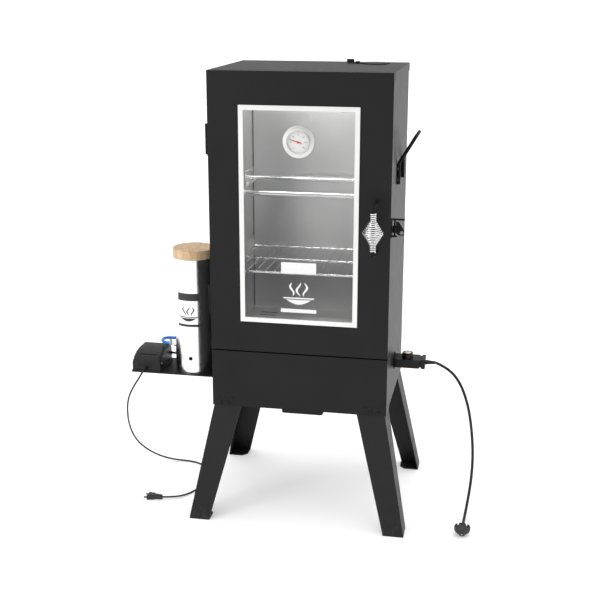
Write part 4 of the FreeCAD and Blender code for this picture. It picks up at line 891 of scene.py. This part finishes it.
def screw_head(radius=4.0):
    """A domed cross-slot head that faces -y, with its seat at the origin."""
    dome = [(0, 0), (radius, 0), (radius, 0.4), (radius * 0.86, 1.3), (radius * 0.55, 2.0), (0, 2.25)]
    head = lathe("head", dome, Vector(), FRONTWARDS, DARK_ZINC, 28)
    half_long, half_wide = radius * 1.05 / 2, radius * 0.24 / 2
    seat = Vector((0, -2.02 * MM, 0))
    corners = [(-half_long, -half_wide), (half_long, -half_wide), (half_long, half_wide),
               (-half_long, half_wide)]
    slots = []
    for turn in (0, math.pi / 2):
        turned = [(x * math.cos(turn) - y * math.sin(turn), x * math.sin(turn) + y * math.cos(turn))
                  for x, y in corners]
        slots.append(slab("slot", turned, 0.3, seat, FRONTWARDS, DARK_ZINC))
    return join([head] + slots, "screw_head")


def back_screws():
    """Rows of screws down both edges of the back panel."""
    low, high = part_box("back_panel")
    edge_in, end_in, raised = 0.012, 0.05, 0.02
    head = screw_head()
    place = Matrix.Translation(((low.x + high.x) / 2, high.y, (low.z + high.z) / 2 + raised)) \
        @ Matrix.Rotation(math.pi, 4, "Z")
    screws = heads_tree(head).build("back_screws", DARK_ZINC, place, 40, **{
        "Columns": 2, "Rows": 7, "Width": high.x - low.x - 2 * edge_in,
        "Height": high.z - low.z - 2 * end_in})
    settle(screws, "fastener_zinc", "cabinet")
    bpy.data.objects.remove(head)


def carry_handle_feet():
    """The flattened tabs and screws that hold the carry handle's bar to the side panel."""
    low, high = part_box("carry_handle")
    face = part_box("right_side_panel")[1].x
    bar_radius = 4 * MM
    tab_wide, tab_tall, tab_corner, tab_thick = 13, 11, 3, 2.0
    tab_out, screw_out = 6 * MM, 8 * MM
    screw = [(0, 2), (3.4, 2), (3.4, 2.5), (2.6, 3.6), (0, 4)]
    parts = []
    for bar, side in ((low.y + bar_radius, -1), (high.y - bar_radius, 1)):
        for height in (12 * MM, 38 * MM):
            parts.append(slab("tab", rounded(tab_wide, tab_tall, tab_corner), tab_thick,
                              Vector((face, bar + side * tab_out, low.z + height)), RIGHTWARDS, COAT, 0.3))
            parts.append(lathe("screw", screw, Vector((face, bar + side * screw_out, low.z + height)),
                               RIGHTWARDS, DARK_ZINC, 24))
    settle(join(parts, "carry_handle_feet"), "black_steel", "cabinet")


# ---------------------------------------------------------------- control and generator pieces
# the knob, from its shaft's foot, in millimetres; an arc of marks is (name, finish, start, sweep) in degrees
KNOB_CAP = [
    (0, 0), (2.9, 0), (2.9, 8), (13.6, 8), (14, 8.6), (13.7, 12), (13.3, 21), (12.9, 21.8), (12.2, 22),
    (9.4, 22), (9.2, 21.6), (0, 21.6),
]
KNOB_DISC = [(0, 21.5), (8.9, 21.5), (8.9, 21.8), (8.4, 22), (0, 22)]
KNOB_POINTER = [(-0.7, 2), (0.7, 2), (0.7, 8), (-0.7, 8)]
POINTER_SEAT = 21.95
KNOB_TOP = 22.02
KNOB_ARCS = (("warm", YELLOW_PRINT, -215, 95), ("hot", ORANGE_PRINT, -112, 95))


def control_knob():
    """The heat knob: a straight-sided cap with a bright disc and a coloured arc of marks on its top."""
    low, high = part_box("control_knob")
    foot = Vector(((low.x + high.x) / 2, (low.y + high.y) / 2, low.z))
    cap = lathe("knob_cap", KNOB_CAP, foot, UPWARDS, PLASTIC, 72, 30)
    disc = lathe("knob_disc", KNOB_DISC, foot, UPWARDS, BRIGHT_WIRE, 64)
    pointer = slab("pointer", KNOB_POINTER, 0.1, foot + Vector(UPWARDS) * POINTER_SEAT * MM, UPWARDS,
                   DARK_PRINT, up=(0, 1, 0))
    top = Matrix.Translation(foot + Vector(UPWARDS) * KNOB_TOP * MM)
    arcs = []
    for name, material, start, sweep_by in KNOB_ARCS:
        arcs.append(marks_tree(material).build("mark_" + name, material, top, 35, **{
            "Count": 26, "Radius": 0.0108, "From angle": math.radians(start), "Sweep": math.radians(sweep_by),
            "Mark length": 0.0022, "Mark width": 0.00078, "Mark height": 0.00016}))
    settle(join([cap, disc, pointer] + arcs, "control_knob_shown"), "knob_black", "knob", "control_knob")


def hose_clip():
    """The grey spring clip on the air hose near the pump."""
    centre = spot(-376, 0, 384)
    bore, outside, half_wide = 4.15, 5.6, 3
    ear_thick, ear_gap, ear_height = 1.2, 1.6, 7
    ring = lathe("clip_ring", [(bore, -half_wide), (outside, -half_wide), (outside, half_wide),
                               (bore, half_wide), (bore, -half_wide)], centre, RIGHTWARDS, GREY_CLIP, 32)
    ears = [slab("ear", rounded(6, 9, 1.5), ear_thick,
                 centre + Vector((0, side * ear_gap - ear_thick / 2, ear_height)) * MM,
                 (0, 1, 0), GREY_CLIP, 0.2) for side in (-1, 1)]
    settle(join([ring] + ears, "hose_clip"), "black_plastic", "cabinet")


def pump_details():
    """The raised step on the pump's sloping top, the ribs on its front, and its screw."""
    low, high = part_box("pump_housing")
    centre_x = (low.x + high.x) / 2
    slope = Vector((0, -6.5, 18)).normalized()
    step_wide = 0.62 * (high.x - low.x) / MM
    step_in, step_down = 21 * MM, 5.6 * MM
    rib_pitch, rib_height = 6.5 * MM, 13 * MM
    screw_in, screw_height = 14 * MM, 16 * MM
    parts = [slab("step", rounded(step_wide, 13, 2.5), 1.3,
                  Vector((centre_x, low.y + step_in, high.z - step_down)), slope, PLASTIC, 0.4)]
    for column in range(-3, 4):
        place = Vector((centre_x + column * rib_pitch, low.y, low.z + rib_height))
        parts.append(slab("rib", rounded(2, 9, 0.9), 0.9, place, FRONTWARDS, PLASTIC, 0.25))
    settle(join(parts, "pump_details"), "black_plastic", "cabinet")
    screw = lathe("pump_screw", [(0, 0), (2.6, 0), (2.6, 0.4), (1.9, 0.9), (0, 1.1)],
                  Vector((high.x, low.y + screw_in, low.z + screw_height)), RIGHTWARDS, BRIGHT_WIRE, 24)
    settle(screw, "fastener_zinc", "cabinet")


# ---------------------------------------------------------------- cords
# the heater control's cord, from its strain relief to the plug, in metres of the cabinet's frame
MAINS_ROUTE = [
    (0.318, 0, 0.376), (0.35, -0.001, 0.364), (0.382, -0.004, 0.328), (0.404, -0.008, 0.27),
    (0.416, -0.014, 0.205), (0.422, -0.024, 0.142), (0.421, -0.039, 0.086), (0.416, -0.062, 0.042),
    (0.411, -0.095, 0.014), (0.409, -0.13, 0.01), (0.408, -0.152, 0.011),
]
# the pump's lead, from its strain relief to the plug, in metres of the cabinet's frame
LEAD_ROUTE = [
    (-0.426, -0.079, 0.331), (-0.427, -0.092, 0.329), (-0.43, -0.104, 0.321), (-0.437, -0.111, 0.309),
    (-0.447, -0.112, 0.292), (-0.459, -0.105, 0.27), (-0.469, -0.092, 0.243), (-0.477, -0.074, 0.214),
    (-0.484, -0.052, 0.178), (-0.487, -0.024, 0.136), (-0.483, 0.008, 0.094), (-0.468, 0.044, 0.055),
    (-0.443, 0.078, 0.023), (-0.408, 0.1, 0.005), (-0.366, 0.106, 0.0023), (-0.326, 0.092, 0.0023),
    (-0.298, 0.058, 0.0023), (-0.285, 0.014, 0.0023), (-0.286, -0.034, 0.0023), (-0.299, -0.078, 0.0023),
    (-0.318, -0.112, 0.004), (-0.342, -0.131, 0.0065), (-0.368, -0.137, 0.007),
]
# the air hose, from the pump's nipple to the jet on the can, in metres of the cabinet's frame
HOSE_ROUTE = [
    (-0.376, 0.036, 0.345), (-0.366, 0.0375, 0.345), (-0.357, 0.042, 0.345), (-0.345, 0.052, 0.345),
    (-0.33, 0.061, 0.345), (-0.311, 0.068, 0.345), (-0.288, 0.0715, 0.345), (-0.2595, 0.072, 0.3455),
    (-0.248, 0.0785, 0.3475), (-0.241, 0.09, 0.351), (-0.241, 0.104, 0.355), (-0.248, 0.1155, 0.359),
    (-0.2595, 0.122, 0.362), (-0.283, 0.122, 0.365), (-0.308, 0.112, 0.367), (-0.331, 0.095, 0.37),
    (-0.351, 0.078, 0.374), (-0.37, 0.065, 0.377), (-0.386, 0.0575, 0.38), (-0.399, 0.049, 0.3825),
    (-0.4065, 0.036, 0.384), (-0.4065, 0.021, 0.384), (-0.399, 0.008, 0.384), (-0.386, 0.0005, 0.384),
    (-0.372, 0, 0.384),
]
# the earthed plug: (radius, height) from the floor, and (radius, length) of its boot, in millimetres
EARTHED_BODY = [
    (0, 0), (7, 0), (7.5, 0.6), (7.5, 3.9), (11.8, 5.4), (15, 7.8), (17.3, 10.2), (18.9, 13.2), (19.4, 15),
    (19.4, 16.6), (18.7, 17.2), (18.7, 18), (19.4, 18.6), (19.4, 22.6), (18.8, 23.6), (17.6, 24), (16.8, 24),
    (16.8, 21.4), (0, 21.4),
]
EARTHED_BOOT = [
    (0, 0), (3.7, 0), (4.1, 1), (4.5, 5), (5.1, 5.2), (5.2, 6.6), (4.7, 6.8), (5.2, 9), (5.7, 9.2),
    (5.8, 10.6), (5.3, 10.8), (5.9, 14), (6.0, 20), (0, 20),
]
EARTHED_RADIUS = 19.5
EARTHED_CUP_FLOOR = 21.4
EARTHED_PINS = {"gap": 19, "radius": 2.4, "long": 21.4}
GRIP_STEP = 0.11
GRIP_RADIUS = 19.1
GRIP_HEIGHT = 20.6
CLIP_RADIUS = 15.9
CLIP_HEIGHT = 15.4
# the flat plug: half of its outline as (distance from the cord, half width), in millimetres
FLAT_OUTLINE = [
    (0, 3.6), (6, 4.4), (18, 6.2), (22, 9.2), (25, 10.6), (31, 10.4), (34, 11.6), (37, 12.9), (40, 12.9),
]
FLAT_LONG = FLAT_OUTLINE[-1][0]
FLAT_THICK = 12.4
FLAT_PINS = {"gap": 18.6, "radius": 2.0, "long": 10.9}
SLEEVE = [(0, -1), (1.9, -1), (1.9, 9), (0, 9)]
SLEEVE_SHOWN = 8


def cord_line(name, route, diameter, material):
    """A free cord as one smooth curve along its route."""
    data = bpy.data.curves.new(name, "CURVE")
    data.dimensions = "3D"
    spline = data.splines.new("NURBS")
    spline.points.add(len(route) - 1)
    for point, place in zip(spline.points, route):
        point.co = (*(HOME + Vector(place)), 1)
    spline.order_u = 3
    spline.use_endpoint_u = True
    data.resolution_u = 10
    data.bevel_depth = diameter / 2
    data.bevel_resolution = 5
    data.use_fill_caps = True
    data.materials.append(material)
    piece = bpy.data.objects.new(name, data)
    bpy.context.scene.collection.objects.link(piece)
    return piece


def relief_ribs(node, axis, material, count=5):
    """Rings round a strain relief, worked out from the relief's box."""
    low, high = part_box(node)
    centre = (low + high) / 2
    long = (high - low)["xyz".index(axis)]
    way = Vector([float(letter == axis) for letter in "xyz"])
    across = "y" if axis == "x" else "x"
    wide = (high - low)["xyz".index(across)] / 2 / MM
    taper, proud = 0.42, 0.25
    rings = []
    for step in range(count):
        share = (step + 0.7) / (count + 0.6)
        radius = wide - share * (wide * taper) + proud
        offset = (share - 0.5) * long if axis == "x" else (0.5 - share) * long
        profile = [(radius - 1, -1), (radius - 0.2, -1), (radius, -0.6), (radius, 0.6), (radius - 0.2, 1),
                   (radius - 1, 1), (radius - 1, -1)]
        rings.append(lathe("ring", profile, centre + way * offset, way, material, 28))
    return join(rings, node + "_rings")


def pin_pair(place, direction, across, gap, radius, long):
    """Two round contact pins with domed ends."""
    profile = [(0, -1), (radius, -1), (radius, long - 1.6), (radius * 0.8, long - 0.5), (0, long)]
    return [lathe("pin", profile, place + Vector(across) * side * gap / 2 * MM, direction, BRIGHT_WIRE, 24)
            for side in (-1, 1)]


def mains_plug():
    """The earthed plug, lying on its back with its pins up, and its ribbed boot."""
    end = HOME + Vector(MAINS_ROUTE[-1])
    centre = Vector((end.x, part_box("mains_plug")[0].y + EARTHED_RADIUS * MM, 0))
    body = lathe("plug_body", EARTHED_BODY, centre, UPWARDS, PLUG_PLASTIC, 72, 30)
    grips = []
    for facing in (math.pi, 0):
        for step in range(-3, 4):
            angle = step * GRIP_STEP + facing
            way = Vector((math.cos(angle), math.sin(angle), 0))
            place = centre + (way * GRIP_RADIUS + Vector(UPWARDS) * GRIP_HEIGHT) * MM
            grips.append(slab("grip", rounded(1.2, 3.2, 0.5), 0.35, place, way, PLASTIC, 0.1))
    boot = lathe("boot", EARTHED_BOOT, end, FRONTWARDS, RUBBER, 36, 30)
    clips = [slab("clip", rounded(4.5, 14, 0.8), 0.8,
                  centre + Vector((0, side * CLIP_RADIUS, CLIP_HEIGHT)) * MM,
                  (0, side, 0), BRIGHT_WIRE, 0.15) for side in (-1, 1)]
    pins = pin_pair(centre + Vector(UPWARDS) * EARTHED_CUP_FLOOR * MM, UPWARDS, RIGHTWARDS, **EARTHED_PINS)
    plug = join([body, boot] + grips + clips + pins, "mains_plug_shown")
    return settle(plug, "black_plastic", "cabinet", "mains_plug")


def pump_plug():
    """The flat plug on the pump's lead: a waisted grip, and two slim pins sheathed at their roots."""
    end = HOME + Vector(LEAD_ROUTE[-1])
    whole = FLAT_OUTLINE + [(x, -y) for x, y in FLAT_OUTLINE[::-1]]
    body = slab("grip", whole, FLAT_THICK, end - Vector(UPWARDS) * FLAT_THICK / 2 * MM, UPWARDS,
                PLUG_PLASTIC, 1.6, up=FRONTWARDS)
    root = end + Vector(LEFTWARDS) * FLAT_LONG * MM
    sleeves = [lathe("sleeve", SLEEVE, root + Vector((0, side * FLAT_PINS["gap"] / 2, 0)) * MM,
                     LEFTWARDS, RUBBER, 24) for side in (-1, 1)]
    pins = pin_pair(root + Vector(LEFTWARDS) * SLEEVE_SHOWN * MM, LEFTWARDS, (0, 1, 0), **FLAT_PINS)
    plug = join([body] + sleeves + pins, "pump_plug_shown")
    return settle(plug, "black_plastic", "cabinet", "pump_plug")


def cords():
    """The mains cord, the pump's lead and the air hose."""
    mains = settle(cord_line("mains_cord_shown", MAINS_ROUTE, 0.007, RUBBER), "cord_sheath",
                   "cabinet", "mains_cord")
    mains_plug()
    lead = settle(cord_line("pump_cord_shown", LEAD_ROUTE, 0.0045, RUBBER), "cord_sheath",
                  "cabinet", "pump_cord")
    pump_plug()
    hose = settle(cord_line("air_hose_shown", HOSE_ROUTE, 0.008, HOSE_BLUE), "blue_hose",
                  "cabinet", "air_hose")
    settle(relief_ribs("control_cord_relief", "x", RUBBER), "black_rubber", "cabinet")
    settle(relief_ribs("pump_cord_relief", "y", RUBBER, 4), "black_rubber", "cabinet")


# ---------------------------------------------------------------- studio
FLOOR_REACH = 30.0
FLOOR_WHITE = (0.93, 0.93, 0.93)
FLOOR_GLOW = 0.22
SURROUND_LIGHT = 0.72
SURROUND_SHOWN = 1.05
OVERHEAD_POWER = 1.5
OVERHEAD_ANGLE = math.radians(100)


def area_light(name, place, target, wide, tall, power):
    """A soft rectangular lamp that faces a target and is not itself seen."""
    data = bpy.data.lights.new(name, "AREA")
    data.shape = "RECTANGLE"
    data.size = wide
    data.size_y = tall
    data.energy = power
    light = bpy.data.objects.new(name, data)
    bpy.context.scene.collection.objects.link(light)
    light.location = place
    light.rotation_mode = "QUATERNION"
    light.rotation_quaternion = (Vector(target) - Vector(place)).to_track_quat("-Z", "Y")
    light.visible_camera = False


def surroundings():
    """A white world, a little brighter to the camera than as a light."""
    world = bpy.data.worlds.new("studio_world")
    world.use_nodes = True
    tree = world.node_tree
    backdrop = tree.nodes["Background"]
    backdrop.inputs["Color"].default_value = (1, 1, 1, 1)
    rays = tree.nodes.new("ShaderNodeLightPath")
    level = tree.nodes.new("ShaderNodeMapRange")
    level.inputs["To Min"].default_value = SURROUND_LIGHT
    level.inputs["To Max"].default_value = SURROUND_SHOWN
    tree.links.new(rays.outputs["Is Camera Ray"], level.inputs["Value"])
    tree.links.new(level.outputs["Result"], backdrop.inputs["Strength"])
    bpy.context.scene.world = world


def studio():
    """A pale floor, white surroundings and large soft lights."""
    corners = [(x * FLOOR_REACH, y * FLOOR_REACH, 0) for x, y in ((-1, -1), (1, -1), (1, 1), (-1, 1))]
    floor_mesh = bpy.data.meshes.new("studio_floor")
    floor_mesh.from_pydata(corners, [], [(0, 1, 2, 3)])
    paper = finish("studio_paper", FLOOR_WHITE, 0.9, Emission_Strength=FLOOR_GLOW)
    floor = piece_from("studio_floor", floor_mesh, paper)
    surroundings()
    sky = bpy.data.lights.new("overhead", "SUN")
    sky.energy = OVERHEAD_POWER
    sky.angle = OVERHEAD_ANGLE
    overhead = bpy.data.objects.new("overhead", sky)
    overhead.location = spot(0, 0, 4000)
    bpy.context.scene.collection.objects.link(overhead)
    area_light("key_light", spot(-1900, -2300, 1700), spot(-250, 0, 500), 0.9, 2.4, 17)
    area_light("side_light", spot(2400, 700, 900), spot(200, 0, 500), 1.6, 1.6, 3)
    area_light("chamber_light", spot(0, -110, 1066), spot(20, 150, 640), 0.3, 0.04, 1.25)
    view = bpy.context.scene.view_settings
    view.view_transform = "Standard"
    view.look = "None"


# ---------------------------------------------------------------- everything
make_camera()
cords()
for name, material in CAD_FINISHES.items():
    nodes[name].data.materials.clear()
    nodes[name].data.materials.append(material)
for name, (material, slot, width) in EDGED.items():
    broken_edges(name, material, slot, width)
wound_grip()
thermometer()
window_print()
wire_rack()
# painted shade down the chamber's two back corners
chamber_seams()
back_screws()
carry_handle_feet()
control_knob()
can_print()
hose_clip()
pump_details()
studio()
